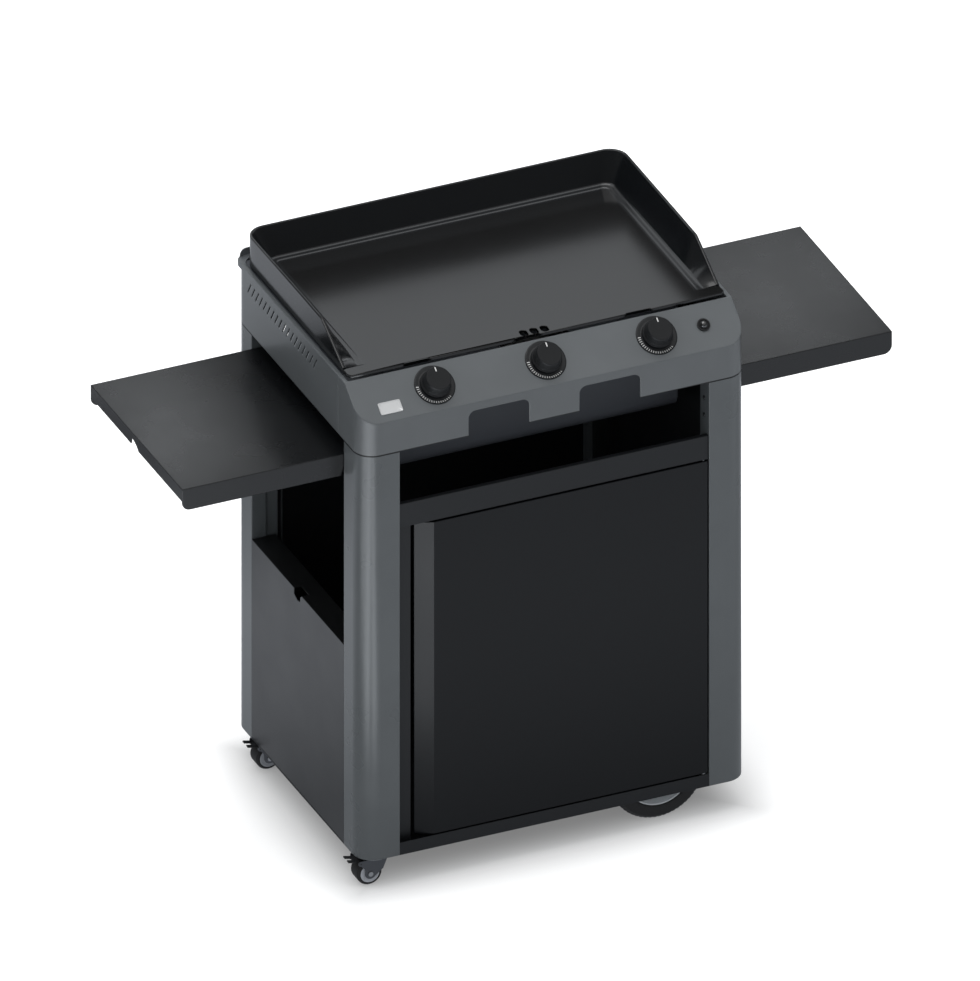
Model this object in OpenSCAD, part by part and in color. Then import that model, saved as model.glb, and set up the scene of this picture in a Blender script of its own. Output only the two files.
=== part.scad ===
// Outdoor gas griddle on a wheeled cabinet with two folding side shelves.
// Every position is written from the left side (x), the front plane (y) and the floor (z) of the
// cabinet, and at_corner() moves it so that the origin lies on the floor under the middle.

/* [Cabinet] */
// Width of the cabinet over its legs
body_w = 750; // [700:10:900]
// Depth of the cabinet over its legs
body_d = 555; // [535:5:650]
// Length of a corner leg
leg_h = 830; // [760:10:900]
// Height of the legs' lower ends above the floor
leg_gap = 60; // [58:1:66]
// Width of each outer face of a leg
leg_face = 75; // [65:1:90]
// Outer corner radius of the legs and the casing
leg_round = 37; // [25:1:45]
// Depth of the flange that turns in from a leg's front face
leg_turn = 40; // [32:1:45]
// Depth of the flange that turns in from a leg's side face
leg_side_turn = 28; // [20:1:35]
// Width of the set-back strip that carries on from the side flange
leg_strip = 25; // [15:1:30]
// Set-back of that strip
leg_step = 6; // [4:1:8]
// Thickness of the sheet steel
sheet = 2; // [1.5:0.5:2.5]
// Height of the bottom tray's front lip
tray_lip = 25; // [20:1:30]
// Height of the lower side panels
side_panel_h = 405; // [350:5:430]
// Width of the flange along a side panel's top
side_panel_flange = 46; // [30:1:50]
// Width of the notch in the top edge of a side panel
notch_w = 34; // [24:1:40]
// Depth of that notch
notch_d = 18; // [10:1:24]

/* [Front opening] */
// Height of the open bay between the casing and the front rail
bay_h = 111; // [100:1:120]
// Height of the front rail
rail_h = 48; // [40:1:55]
// Depth of the front rail
rail_d = 40; // [30:1:50]
// Set-back of the front rail behind the legs' faces
rail_back = 3; // [2:1:5]
// Gap above and below the door
door_gap = 3; // [2:0.5:5]
// Gap between the door and the right leg
door_side_gap = 3; // [2:0.5:5]
// Depth of the door pan
door_d = 16; // [14:1:20]
// Width of the slanted grip along the door's free edge
grip_w = 33; // [25:1:40]
// Radius of the door's pivot pins
door_pin_r = 3; // [2.5:0.5:4]

/* [Casing] */
// Height of the upright front band
band_h = 66; // [55:1:75]
// Height that the sloping control panel rises
slope_rise = 54; // [45:1:60]
// Depth that the sloping control panel runs back
slope_run = 73; // [65:1:80]
// Place of the joint between the front panel and the casing
seam_y = 101; // [98:1:102]
// Width of the lip round the casing's top
lip_w = 8; // [6:1:9]
// Rear corner radius of the casing's upper edge
edge_round = 17; // [10:1:22]
// Height of that upper edge
edge_h = 8; // [6:1:20]
// Height of the raised rear lip above the casing
back_rise = 14.5; // [8:0.5:20]
// Number of slots in each side
vent_count = 18; // [12:1:18]
// Distance of the last slot from the cabinet's back
vent_stop = 65; // [60:0.5:110]
// Width of a slot
vent_w = 3; // [2:0.5:5]
// Length of a slot
vent_len = 25; // [20:1:34]
// Lean of the slots towards the front
vent_lean = 32; // [0:1:40]
// Width of each hand hole in the lower edge of the band
hand_w = 118; // [90:1:130]
// Height of each hand hole
hand_h = 50; // [35:1:54]
// Corner radius of the hand holes
hand_round = 14; // [6:1:20]

/* [Griddle] */
// Thickness of the cooking plate
plate_t = 6; // [5:1:8]
// Height of the cooking surface above the casing
plate_rise = 9; // [8:1:12]
// Distance of the flat cooking zone from the cabinet's side
plate_side = 52; // [46:1:60]
// Distance of the flat cooking zone from the cabinet's back
plate_back = 58; // [50:1:70]
// Gap between the top of the control panel and the plate's front edge
plate_front_gap = 2; // [1:0.5:4]
// Height of the splash guard above the casing
guard_h = 63; // [50:1:80]
// Distance of the guard's side from the cabinet's side
guard_side = 10; // [9:1:18]
// Distance of the guard's back from the cabinet's back
guard_back = 15; // [11:1:20]
// Corner radius of the guard
guard_round = 36; // [25:1:45]
// Place where the guard's top edge begins to fall towards the front
guard_bend_y = 200; // [170:1:260]
// Place of the guard's front ends
guard_end_y = 104; // [98:1:110]
// Height of the guard's front ends above the casing
guard_end_h = 11; // [10:0.5:14]
// Thickness of the guard's sheet
guard_t = 2; // [1.5:0.5:3]
// Width of the shallow recesses in the plate's front edge
recess_w = 48; // [30:1:60]
// Depth of those recesses
recess_d = 3; // [1:0.5:5]
// Width of each drain slot near the plate's front edge
drain_w = 15; // [10:1:18]
// Height of each drain slot
drain_h = 8; // [6:1:10]
// Spacing of the drain slots
drain_pitch = 20; // [19:1:24]

/* [Controls] */
// Distance of the outer knobs from the cabinet's sides
knob_side = 160; // [150:1:180]
// Outer diameter of the dial ring under a knob
dial_d = 76; // [66:1:80]
// Diameter of a knob at its base
knob_d = 56; // [50:1:60]
// Diameter of a knob's cap
cap_d = 45; // [38:1:48]
// Height of a knob
knob_h = 24; // [20:1:30]
// Radius of a tap's spindle
spindle_r = 4; // [3:0.5:5]
// Diameter of the igniter's ring
igniter_d = 24; // [20:1:28]
// Diameter of the igniter's button
button_d = 16; // [12:1:17]
// Distance of the igniter from the cabinet's right side
igniter_side = 69; // [60:1:85]
// Travel of a pressed knob
press_travel = 4; // [2:0.5:4]
// Width of the bare name plate
label_w = 43; // [30:1:50]
// Height of the bare name plate
label_h = 23.5; // [16:0.5:26]

/* [Burners] */
// Radius of a burner tube
burner_r = 20; // [15:1:25]
// Depth of the burner box below the casing
box_drop = 88; // [60:1:95]
// Distance of the burner box from the cabinet's side
box_side = 89; // [80:1:100]
// Place of the burner box's front wall
box_front = 106; // [104:1:110]
// Distance of the burner box from the cabinet's back
box_back = 35; // [20:1:50]
// Radius of the lower front edge of the burner box
box_round = 30; // [10:1:40]
// Radius of the gas pipe
pipe_r = 9; // [7:0.5:11]
// Radius of the hose nipple
nipple_r = 5; // [4:0.5:6]
// Width of the grease cup
cup_w = 120; // [80:1:140]
// Height of the grease cup
cup_h = 33; // [24:1:36]

/* [Side shelves] */
// Length of a side shelf beyond the cabinet
shelf_w = 313; // [250:1:320]
// Distance of the shelf's top below the casing
shelf_drop = 28; // [26:1:34]
// Height of the shelf's front and rear aprons
apron_h = 44; // [36:1:48]
// Height of the shelf's end apron
end_h = 25; // [18:1:30]
// Gap between a shelf and the legs beside it
shelf_gap = 1.5; // [1:0.5:3]
// Radius of the outer lower corner of the aprons
apron_round = 16; // [8:1:20]
// Width of the hook notch in the end apron
hook_w = 34; // [24:1:40]
// Depth of the hook notch
hook_d = 13; // [8:1:16]
// Distance of the fold line inside the cabinet's side
fold_in = 12; // [11:0.5:16]
// Distance of the fold line below the shelf's top
fold_drop = 14; // [12:0.5:16]
// Radius of the fold pins
fold_pin_r = 3; // [2:0.5:4]

/* [Casters] */
// Diameter of a caster wheel
caster_d = 48.2; // [44:0.2:49]
// Width of a caster wheel
caster_w = 34; // [24:1:36]
// Distance of the caster's turning axis from the cabinet's side
caster_x = 38; // [36:1:50]
// Place of the front caster's turning axis
caster_front_y = 36; // [36:1:60]
// Distance of the rear caster's turning axis from the cabinet's back
caster_back_in = 77; // [50:1:110]
// Distance of the wheel's axle behind the turning axis
caster_trail = 12; // [8:1:14]
// Radius of a caster's axle
caster_axle_r = 3; // [2:0.5:4]
// Radius of the stud on which a caster turns
stud_r = 4; // [3:0.5:5]

/* [Wheels] */
// Diameter of a fixed wheel
wheel_d = 180; // [160:2:184]
// Width of a fixed wheel
wheel_w = 38; // [28:1:40]
// Distance of the fixed wheels' axle from the cabinet's right side
wheel_x = 160; // [158:1:200]
// Distance of a fixed wheel's outer face from the cabinet's front or back
wheel_y = 25; // [25:1:28]
// Radius of the rim inside the tyre
rim_r = 62; // [50:1:66]
// Radius of the wheels' axles
axle_r = 6; // [5:0.5:8]

/* [Hidden] */

// Fineness of round parts
$fn = 48;
// Overrun of every cut
over = 1;
// Radial clearance of a part that turns on a pin
run_gap = 0.05;
// Clearance between neighbours that do not touch
clear = 0.3;

leg_top = leg_gap + leg_h;
crease_z = leg_top + band_h;
top_z = crease_z + slope_rise;
plate_z = top_z + plate_rise;
slope_len = sqrt(slope_run * slope_run + slope_rise * slope_rise);
slope_tilt = atan(slope_rise / slope_run);
rail_top = leg_top - bay_h;
rail_low = rail_top - rail_h;
tray_top = leg_gap + tray_lip;
wheel_r = wheel_d / 2;
caster_r = caster_d / 2;
caster_back_y = body_d - caster_back_in;
knob_along_share = 0.54;
knob_pitch = body_w / 2 - knob_side;
igniter_x = body_w - igniter_side;
knob_places = [body_w / 2 - knob_pitch, body_w / 2, body_w / 2 + knob_pitch];

steel_grey = "#6e7274";
dark_grey = "#3f4345";
near_black = "#1f2123";
enamel = "#26282a";
rubber = "#202022";
bright_steel = "#b8babc";
brass = "#b5a264";
pale = "#d9dadb";

// Moves the corner frame so that the origin is on the floor under the middle of the cabinet
module at_corner() translate([-body_w / 2, -body_d / 2, 0]) children();

// Turns a drawing in the plane of depth and height into a bar along the width
module along_width(from, to)
    translate([from, 0, 0]) rotate([90, 0, 90]) linear_extrude(to - from) children();

// Turns a drawing in the plane of width and height into a bar along the depth
module along_depth(from, to)
    translate([0, to, 0]) rotate([90, 0, 0]) linear_extrude(to - from) children();

// Copies a part to the right side of the cabinet as a mirror image
module right_side() translate([body_w, 0, 0]) mirror([1, 0, 0]) children();

// Copies a part to the back of the cabinet as a mirror image
module rear_side() translate([0, body_d, 0]) mirror([0, 1, 0]) children();

// A rectangle from one corner to the other, with round corners on the chosen ends
module block2(low, high) translate(low) square(high - low);

module round_block2(low, high, r, front = true, back = true) {
    f = front ? r : 0;
    b = back ? r : 0;
    block2([low[0] + r, low[1]], [high[0] - r, high[1]]);
    block2([low[0], low[1] + f], [high[0], high[1] - b]);
    if (front) for (x = [low[0] + r, high[0] - r]) translate([x, low[1] + r]) circle(r);
    if (back) for (x = [low[0] + r, high[0] - r]) translate([x, high[1] - r]) circle(r);
}

module box3(low, high) translate(low) cube(high - low);

// Corner legs: folded sheet with a round outer corner and a flange turned in at each end
module leg_profile() {
    intersection() {
        difference() {
            translate([leg_round, leg_round]) circle(leg_round);
            translate([leg_round, leg_round]) circle(leg_round - sheet);
        }
        square(leg_round);
    }
    block2([leg_round, 0], [leg_face, sheet]);
    block2([0, leg_round], [sheet, leg_face]);
    block2([leg_face - sheet, 0], [leg_face, leg_turn]);
    block2([0, leg_face - sheet], [leg_side_turn, leg_face]);
    block2([leg_side_turn - sheet, leg_face - sheet - leg_step], [leg_side_turn, leg_face]);
    block2([leg_side_turn, leg_face - sheet - leg_step],
        [leg_side_turn + leg_strip, leg_face - leg_step]);
}

module leg() difference() {
    translate([0, 0, leg_gap]) linear_extrude(leg_h) leg_profile();
    translate([fold_in, leg_face - sheet - over, fold_z]) rotate([-90, 0, 0])
        cylinder(r = fold_pin_r, h = sheet + 2 * over);
}

// The right legs leave room for the fixed wheels behind their front flanges
module leg_with_wheel_room() difference() {
    leg();
    box3([leg_face - sheet - over, wheel_y - 2 * sheet, leg_gap - over],
        [leg_face + over, leg_face, 2 * wheel_r + 2 * clear]);
}

module leg_front_left() color(steel_grey) at_corner() leg();
module leg_front_right() color(steel_grey) at_corner() right_side() leg_with_wheel_room();
module leg_back_left() color(steel_grey) at_corner() rear_side() leg();
module leg_back_right() color(steel_grey) at_corner() right_side() rear_side() leg_with_wheel_room();

// Domed screws on the inner flanges, just below the casing
screw_r = 5;
screw_head = 2.5;
screw_dome_r = 6.25;
screw_y = 22;
screw_drops = [43, 78];

module screw_head_shape() rotate([0, 90, 0]) rotate_extrude() intersection() {
    translate([0, screw_head - screw_dome_r]) circle(screw_dome_r);
    square([screw_r, screw_head]);
}

module leg_screws() color(near_black) at_corner() {
    for (drop = screw_drops) {
        translate([leg_face, screw_y, leg_top - drop]) screw_head_shape();
        right_side() translate([leg_face, screw_y, leg_top - drop]) screw_head_shape();
    }
}

// Bottom tray between the legs, with a lip at the front and back and two wheel openings
arch_room = 8;
arch_room_back = 10;
arch_half = wheel_r + arch_room;
arch_y = wheel_y - 2 * sheet;
arch_back = wheel_y + wheel_w + arch_room_back;
arch_top = wheel_d + arch_room;
wheel_cx = body_w - wheel_x;
side_lip = 5;

module wheel_opening()
    box3([wheel_cx - arch_half, arch_y, leg_gap - over],
        [body_w - leg_face + over, arch_back, leg_gap + sheet + over]);

module base_tray() color(near_black) at_corner() difference() {
    union() {
        box3([leg_face, 0, leg_gap], [body_w - leg_face, body_d, leg_gap + sheet]);
        box3([0, leg_face, leg_gap], [body_w, body_d - leg_face, leg_gap + sheet]);
        box3([leg_face, 0, leg_gap], [body_w - leg_face, sheet, tray_top]);
        box3([leg_face, body_d - sheet, leg_gap], [body_w - leg_face, body_d, tray_top]);
        box3([0, leg_face, leg_gap], [sheet, body_d - leg_face, leg_gap + side_lip]);
        box3([body_w - sheet, leg_face, leg_gap], [body_w, body_d - leg_face, leg_gap + side_lip]);
    }
    wheel_opening();
    rear_side() wheel_opening();
}

// Back panel between the rear legs, as high as the front rail, with a flange along its top
back_flange = 12;

module back_panel() color(near_black) at_corner() {
    box3([leg_face, body_d - sheet, tray_top], [body_w - leg_face, body_d, rail_top]);
    box3([leg_face, body_d - back_flange, rail_top - sheet], [body_w - leg_face, body_d, rail_top]);
}

// Inner wall that closes the right side, between the set-back strips of the right legs
module inner_wall() color(near_black) at_corner() {
    wall_x = body_w - leg_side_turn - leg_strip;
    wall_y = leg_face - sheet - leg_step;
    box3([wall_x - sheet, wall_y, leg_gap + sheet], [wall_x, body_d - wall_y, leg_top]);
}

// Lower side panels: a sheet with a flange along its top and a notch in the middle of that edge
panel_low = leg_gap + side_lip;
panel_top = panel_low + side_panel_h;
flange_turn = 14;
notch_shares = [[-0.5, 0], [-0.32, -0.3], [-0.29, -0.85], [0.06, -1], [0.5, -0.65], [0.5, 0]];

module notch_shape() {
    polygon([for (p = notch_shares) [p[0] * notch_w, p[1] * notch_d]]);
    block2([-notch_w / 2, 0], [notch_w / 2, over]);
}

module side_panel() difference() {
    union() {
        box3([0, leg_face, panel_low], [sheet, body_d - leg_face, panel_top]);
        box3([0, leg_face, panel_top - sheet], [leg_side_turn, body_d - leg_face, panel_top]);
        box3([leg_side_turn - sheet, leg_face, panel_top - sheet],
            [side_panel_flange, body_d - leg_face, panel_top]);
        box3([side_panel_flange - sheet, leg_face, panel_top - flange_turn],
            [side_panel_flange, body_d - leg_face, panel_top]);
    }
    translate([0, body_d / 2, panel_top]) along_width(-over, leg_side_turn / 2) notch_shape();
}

module side_panel_left() color(dark_grey) at_corner() side_panel();
module side_panel_right() color(dark_grey) at_corner() right_side() side_panel();

// Front rail: a channel between the front legs, above the door, with a narrow upper flange
rail_top_d = 12;

module front_rail() color(dark_grey) at_corner() {
    box3([leg_face, rail_back, rail_low], [body_w - leg_face, rail_back + sheet, rail_top]);
    box3([leg_face, rail_back, rail_top - sheet], [body_w - leg_face, rail_top_d, rail_top]);
    box3([leg_face, rail_back, rail_low], [body_w - leg_face, rail_d, rail_low + sheet]);
}

// Upright strip beside the left leg, which the door closes against
stile_x = 80;
stile_w = 23;

module door_stile() color(dark_grey) at_corner() {
    box3([stile_x, door_d, leg_gap + sheet], [stile_x + stile_w, door_d + sheet, rail_low]);
    box3([stile_x, door_d, leg_gap + sheet], [stile_x + sheet, rail_d, rail_low]);
}

// Door: a pan with turned-in edges, a slanted grip at the left and pivot holes at the right
door_front = 1;
door_left = 109;
door_right = body_w - leg_face - door_side_gap;
door_low = tray_top + door_gap;
door_high = rail_low - door_gap;
pin_in = 6;
pin_x = door_right - pin_in;
pin_y = door_front + pin_in;
grip_x = door_left + grip_w;

module door_plan() polygon([[door_left, door_d], [grip_x, door_front], [door_right, door_front],
    [door_right, door_d]]);

module door_skin() polygon([[door_left, door_d], [grip_x, door_front], [door_right, door_front],
    [door_right, door_d], [door_right - sheet, door_d], [door_right - sheet, door_front + sheet],
    [grip_x + sheet / 2, door_front + sheet], [door_left + 2 * sheet, door_d]]);

module door() color(near_black) at_corner() difference() {
    union() {
        translate([0, 0, door_low]) linear_extrude(door_high - door_low) door_skin();
        translate([0, 0, door_low]) linear_extrude(sheet) door_plan();
        translate([0, 0, door_high - sheet]) linear_extrude(sheet) door_plan();
    }
    translate([pin_x, pin_y, door_low - over])
        cylinder(r = door_pin_r + run_gap, h = door_high - door_low + 2 * over);
}

// Door pivots: a short pin under the rail and a pin with a shoulder on a block in the tray
pin_reach = 8;
block_w = 20;

module door_pivot_upper() color(bright_steel) at_corner()
    translate([pin_x, pin_y, rail_low - door_gap - pin_reach])
        cylinder(r = door_pin_r, h = door_gap + pin_reach);

module door_pivot_lower() color(bright_steel) at_corner() {
    box3([body_w - leg_face - block_w, sheet, leg_gap + sheet],
        [body_w - leg_face, door_d - sheet, tray_top]);
    translate([pin_x, pin_y, tray_top]) cylinder(r = door_pin_r, h = door_gap + pin_reach);
    translate([pin_x, pin_y, tray_top]) cylinder(r = door_pin_r + sheet, h = door_gap - clear);
}

// Magnetic catch under the rail
catch_w = 40;
catch_h = 14;

module door_catch() color(near_black) at_corner()
    box3([grip_x, door_d + clear, rail_low - catch_h], [grip_x + catch_w, rail_d, rail_low]);

// Wheel arches: boxes over the fixed wheels, open below and towards the leg
module wheel_arch() difference() {
    box3([wheel_cx - arch_half, arch_y, leg_gap], [body_w - leg_face, arch_back, arch_top]);
    box3([wheel_cx - arch_half + sheet, arch_y + sheet, leg_gap - over],
        [body_w - leg_face + over, arch_back - sheet, arch_top - sheet]);
    translate([wheel_cx, arch_back, wheel_r]) rotate([90, 0, 0])
        translate([0, 0, -over]) cylinder(r = axle_r + clear, h = sheet + 2 * over);
}

module wheel_arch_front() color(near_black) at_corner() wheel_arch();
module wheel_arch_back() color(near_black) at_corner() rear_side() wheel_arch();

// Axle bolts of the fixed wheels, with a head, a spacer and a nut on both sides of the arch wall
axle_head_r = 10;
axle_head = 5;
rim_sink = 6;

module axle_piece(r, from, to)
    translate([wheel_cx, from, wheel_r]) rotate([-90, 0, 0]) cylinder(r = r, h = to - from);

module wheel_axle() {
    axle_piece(axle_r, wheel_y + rim_sink - axle_head, arch_back + axle_head);
    axle_piece(axle_head_r, wheel_y + rim_sink - axle_head - clear, wheel_y + rim_sink - clear);
    axle_piece(axle_head_r, wheel_y + wheel_w + clear, arch_back - sheet);
    axle_piece(axle_head_r, arch_back, arch_back + axle_head);
}

module wheel_axles() color(bright_steel) at_corner() {
    wheel_axle();
    rear_side() wheel_axle();
}

// Fixed wheels: a rounded tyre on a rim that is sunk in on the outer side
tyre_round = 9;
rim_wall = 8;
hub_r = 18;
web_t = 8;

module about_wheel_axis()
    translate([wheel_cx, wheel_y + wheel_w / 2, wheel_r]) rotate([90, 0, 0]) children();

module tyre() about_wheel_axis() rotate_extrude($fn = 96) {
    block2([rim_r, -wheel_w / 2], [wheel_r - tyre_round, wheel_w / 2]);
    block2([rim_r, -wheel_w / 2 + tyre_round], [wheel_r, wheel_w / 2 - tyre_round]);
    for (s = [-1, 1]) translate([wheel_r - tyre_round, s * (wheel_w / 2 - tyre_round)]) circle(tyre_round);
}

module rim() about_wheel_axis() rotate_extrude($fn = 96) {
    block2([rim_r - rim_wall, -wheel_w / 2 + over], [rim_r, wheel_w / 2 - over]);
    block2([axle_r + run_gap, -web_t / 2], [rim_r - rim_wall, web_t / 2]);
    block2([axle_r + run_gap, -wheel_w / 2], [hub_r, wheel_w / 2 - rim_sink]);
}

module tyre_front() color(rubber) at_corner() tyre();
module tyre_back() color(rubber) at_corner() rear_side() tyre();
module rim_front() color(pale) at_corner() rim();
module rim_back() color(pale) at_corner() rear_side() rim();

// Casters, drawn with their turning axis upright through the origin and the wheel behind it
caster_plate_r = 32;
mount_t = 3;
mount_low = leg_gap - mount_t;
crown_gap = 1.8;
crown_low = caster_d + crown_gap;
crown_t = 3;
crown_r = 20;
race_r = 13;
fork_t = 2;
fork_in = caster_w / 2 + clear;
stud_head_r = 6.5;
stud_head = 1.6;
hub_boss_r = 10;
lever_pin_r = 1.5;
lever_boss = 5;
pedal_back = 18;
pedal_drop = 2;
pedal_x = -caster_trail - pedal_back;
pedal_z = crown_low - pedal_drop;
fork_nose = 12.5;
fork_nose_z = 31;

module at_caster(y) at_corner() translate([caster_x, y, 0]) children();

module caster_plate() {
    translate([0, 0, mount_low]) cylinder(r = caster_plate_r, h = mount_t);
    translate([0, 0, crown_low - stud_head - clear])
        cylinder(r = stud_r, h = mount_low - crown_low + stud_head + 2 * clear);
    translate([0, 0, crown_low - stud_head - clear]) cylinder(r = stud_head_r, h = stud_head);
}

module leg_foot() translate([0, 0, leg_gap]) linear_extrude(sheet) intersection() {
    union() {
        translate([leg_round, leg_round]) circle(leg_round - sheet);
        block2([leg_round, sheet], [leg_face - sheet, leg_face]);
        block2([sheet, leg_round], [leg_face, leg_face]);
    }
    block2([sheet, sheet], [leg_face - sheet, leg_face - sheet - leg_step]);
}

module caster_plates() color(bright_steel) {
    at_caster(caster_front_y) caster_plate();
    at_caster(caster_back_y) caster_plate();
    at_corner() leg_foot();
}

module fork_side() {
    translate([-caster_trail, caster_r]) circle(hub_boss_r);
    polygon([[-caster_trail - hub_boss_r, caster_r],
        [-caster_trail + hub_boss_r * sin(45), caster_r - hub_boss_r * sin(45)],
        [fork_nose, fork_nose_z], [crown_r, crown_low], [crown_r, crown_low + crown_t],
        [-caster_trail - hub_boss_r, crown_low + crown_t]]);
    polygon([[-caster_trail, crown_low + crown_t], [-caster_trail - hub_boss_r, caster_r + hub_boss_r],
        [pedal_x, pedal_z - lever_boss], [pedal_x, pedal_z + lever_boss]]);
    translate([pedal_x, pedal_z]) circle(lever_boss);
}

module caster_fork(y) color(bright_steel) at_caster(y) difference() {
    union() {
        for (s = [-1, 1]) translate([0, s * (fork_in + fork_t / 2), 0])
            along_depth(-fork_t / 2, fork_t / 2) fork_side();
        intersection() {
            box3([-caster_trail - hub_boss_r, -fork_in - fork_t, crown_low],
                [crown_r, fork_in + fork_t, crown_low + crown_t]);
            translate([0, 0, crown_low]) cylinder(r = crown_r + hub_boss_r, h = crown_t);
        }
        translate([0, 0, crown_low]) cylinder(r = race_r, h = mount_low - clear - crown_low);
    }
    translate([0, 0, crown_low - over])
        cylinder(r = stud_r + run_gap, h = mount_low - crown_low + 2 * over);
    translate([-caster_trail, 0, caster_r]) rotate([90, 0, 0])
        cylinder(r = caster_axle_r, h = 2 * (fork_in + fork_t + over), center = true);
    translate([pedal_x, 0, pedal_z]) rotate([90, 0, 0])
        cylinder(r = lever_pin_r + run_gap, h = 2 * (fork_in + fork_t + over), center = true);
}

module caster_fork_front() caster_fork(caster_front_y);
module caster_fork_back() caster_fork(caster_back_y);

module at_caster_axle(y) at_caster(y)
    translate([-caster_trail, 0, caster_r]) rotate([90, 0, 0]) children();

module caster_axle(y) color(near_black) at_caster_axle(y) {
    cylinder(r = caster_axle_r, h = 2 * (fork_in + fork_t), center = true);
    for (s = [-1, 1]) translate([0, 0, s * (fork_in + fork_t + stud_head / 2)])
        cylinder(r = caster_axle_r + stud_head, h = stud_head, center = true);
}

module caster_axle_front() caster_axle(caster_front_y);
module caster_axle_back() caster_axle(caster_back_y);

caster_edge = 3;

module caster_wheel(y) color(rubber) at_caster_axle(y) rotate_extrude() {
    block2([caster_axle_r + run_gap, -caster_w / 2], [caster_r - caster_edge, caster_w / 2]);
    block2([caster_axle_r + run_gap, caster_edge - caster_w / 2], [caster_r, caster_w / 2 - caster_edge]);
    for (s = [-1, 1]) translate([caster_r - caster_edge, s * (caster_w / 2 - caster_edge)])
        circle(caster_edge);
}

module caster_wheel_front() caster_wheel(caster_front_y);
module caster_wheel_back() caster_wheel(caster_back_y);

// Brake lever: a pedal that turns on a small pin between the fork's arms
pedal_len = 22;
pedal_t = 2.4;
pedal_w = 24;
pedal_slot = 9;
pedal_tilt = 12;
shoe_r = 3;
shoe_reach = 5;
shoe_w = 12;
shoe_turn = 65;

module brake_lever(y) color(dark_grey) at_caster(y) translate([pedal_x, 0, pedal_z]) {
    rotate([90, 0, 0]) cylinder(r = lever_pin_r, h = 2 * (fork_in + fork_t), center = true);
    rotate([90, 0, 0]) cylinder(r = shoe_r, h = pedal_w + sheet, center = true);
    rotate([0, shoe_turn, 0]) box3([0, -shoe_w / 2, -pedal_t / 2], [shoe_reach, shoe_w / 2, pedal_t / 2]);
    rotate([0, pedal_tilt, 0]) difference() {
        box3([-pedal_len, -pedal_w / 2, -pedal_t / 2], [0, pedal_w / 2, pedal_t / 2]);
        box3([-pedal_len - over, -pedal_slot / 2, -pedal_t], [-pedal_len / 2, pedal_slot / 2, pedal_t]);
    }
}

module brake_lever_front() brake_lever(caster_front_y);
module brake_lever_back() brake_lever(caster_back_y);

// Casing round the sides and back, with slanted slots in both sides and a lip round its top
edge_low = top_z - edge_h;

module casing_plan(inset, front_y, r = leg_round) round_block2([inset, front_y],
    [body_w - inset, body_d - inset], r - inset, front = false);

module casing_shape(inset, drop) {
    translate([0, 0, leg_top - 2 * drop]) linear_extrude(edge_low - leg_top + drop)
        casing_plan(inset, seam_y - drop);
    sink = drop > 0 ? 0 : sheet;
    translate([0, 0, edge_low - sink]) linear_extrude(edge_h - drop + sink)
        casing_plan(inset, seam_y - drop, edge_round);
}

// Raised lip along the back, with round ends that follow the rear corners
module back_lip_view() {
    lip_in = edge_round / 2 + back_rise;
    block2([lip_in, top_z - over], [body_w - lip_in, top_z + back_rise]);
    for (x = [lip_in, body_w - lip_in]) intersection() {
        translate([x, top_z]) circle(back_rise);
        block2([0, top_z - over], [body_w, top_z + back_rise]);
    }
}

vent_start = 202;
vent_pitch = (body_d - vent_start - vent_stop) / (vent_count - 1);
vent_top_share = 0.75;

module vent_slot() {
    block2([-vent_w / 2, -vent_len / 2], [vent_w / 2, vent_len / 2]);
    for (s = [-1, 1]) translate([0, s * vent_len / 2]) circle(vent_w / 2);
}

module casing() color(steel_grey) at_corner() difference() {
    union() {
        casing_shape(0, 0);
        intersection() {
            along_depth(body_d - edge_round, body_d) back_lip_view();
            translate([0, 0, top_z - over]) linear_extrude(over + back_rise)
                casing_plan(0, seam_y, edge_round);
        }
    }
    casing_shape(sheet, sheet);
    translate([0, 0, leg_top]) linear_extrude(top_z - leg_top + over)
        casing_plan(lip_w, seam_y - over, leg_round);
    translate([0, 0, top_z]) linear_extrude(back_rise + over)
        casing_plan(sheet, seam_y - over, edge_round);
    for (i = [0 : vent_count - 1])
        translate([0, vent_start + i * vent_pitch, leg_top + (top_z - leg_top) * vent_top_share]) {
            along_width(-over, sheet + over) rotate(vent_lean) vent_slot();
            translate([body_w, 0, 0]) along_width(-sheet - over, over) rotate(vent_lean) vent_slot();
        }
}

// Control panel: an upright band and a slope, both carried round the front corners
slope_skin = sheet / cos(slope_tilt);
slope_grade = slope_rise / slope_run;
inner_bend = crease_z + sheet * slope_grade - slope_skin;
inner_top_y = (top_z - sheet - crease_z + slope_skin) / slope_grade;
panel_edge = slope_run + sheet;
panel_turn = 12;

module panel_outer() polygon([[0, leg_top], [0, crease_z], [slope_run, top_z], [seam_y, top_z],
    [seam_y, leg_top]]);

module panel_inner() polygon([[sheet, leg_top - over], [sheet, inner_bend], [inner_top_y, top_z - sheet],
    [seam_y + over, top_z - sheet], [seam_y + over, leg_top - over]]);

module panel_plan(inset) round_block2([inset, inset], [body_w - inset, seam_y + over],
    leg_round - inset, back = false);

module on_slope(x, along)
    translate([x, 0, crease_z]) rotate([slope_tilt, 0, 0]) translate([0, along, 0]) children();

module hand_hole() {
    block2([-hand_w / 2, leg_top - over], [hand_w / 2, leg_top + hand_h - hand_round]);
    block2([-hand_w / 2 + hand_round, leg_top], [hand_w / 2 - hand_round, leg_top + hand_h]);
    for (s = [-1, 1]) translate([s * (hand_w / 2 - hand_round), leg_top + hand_h - hand_round])
        circle(hand_round);
}

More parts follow.
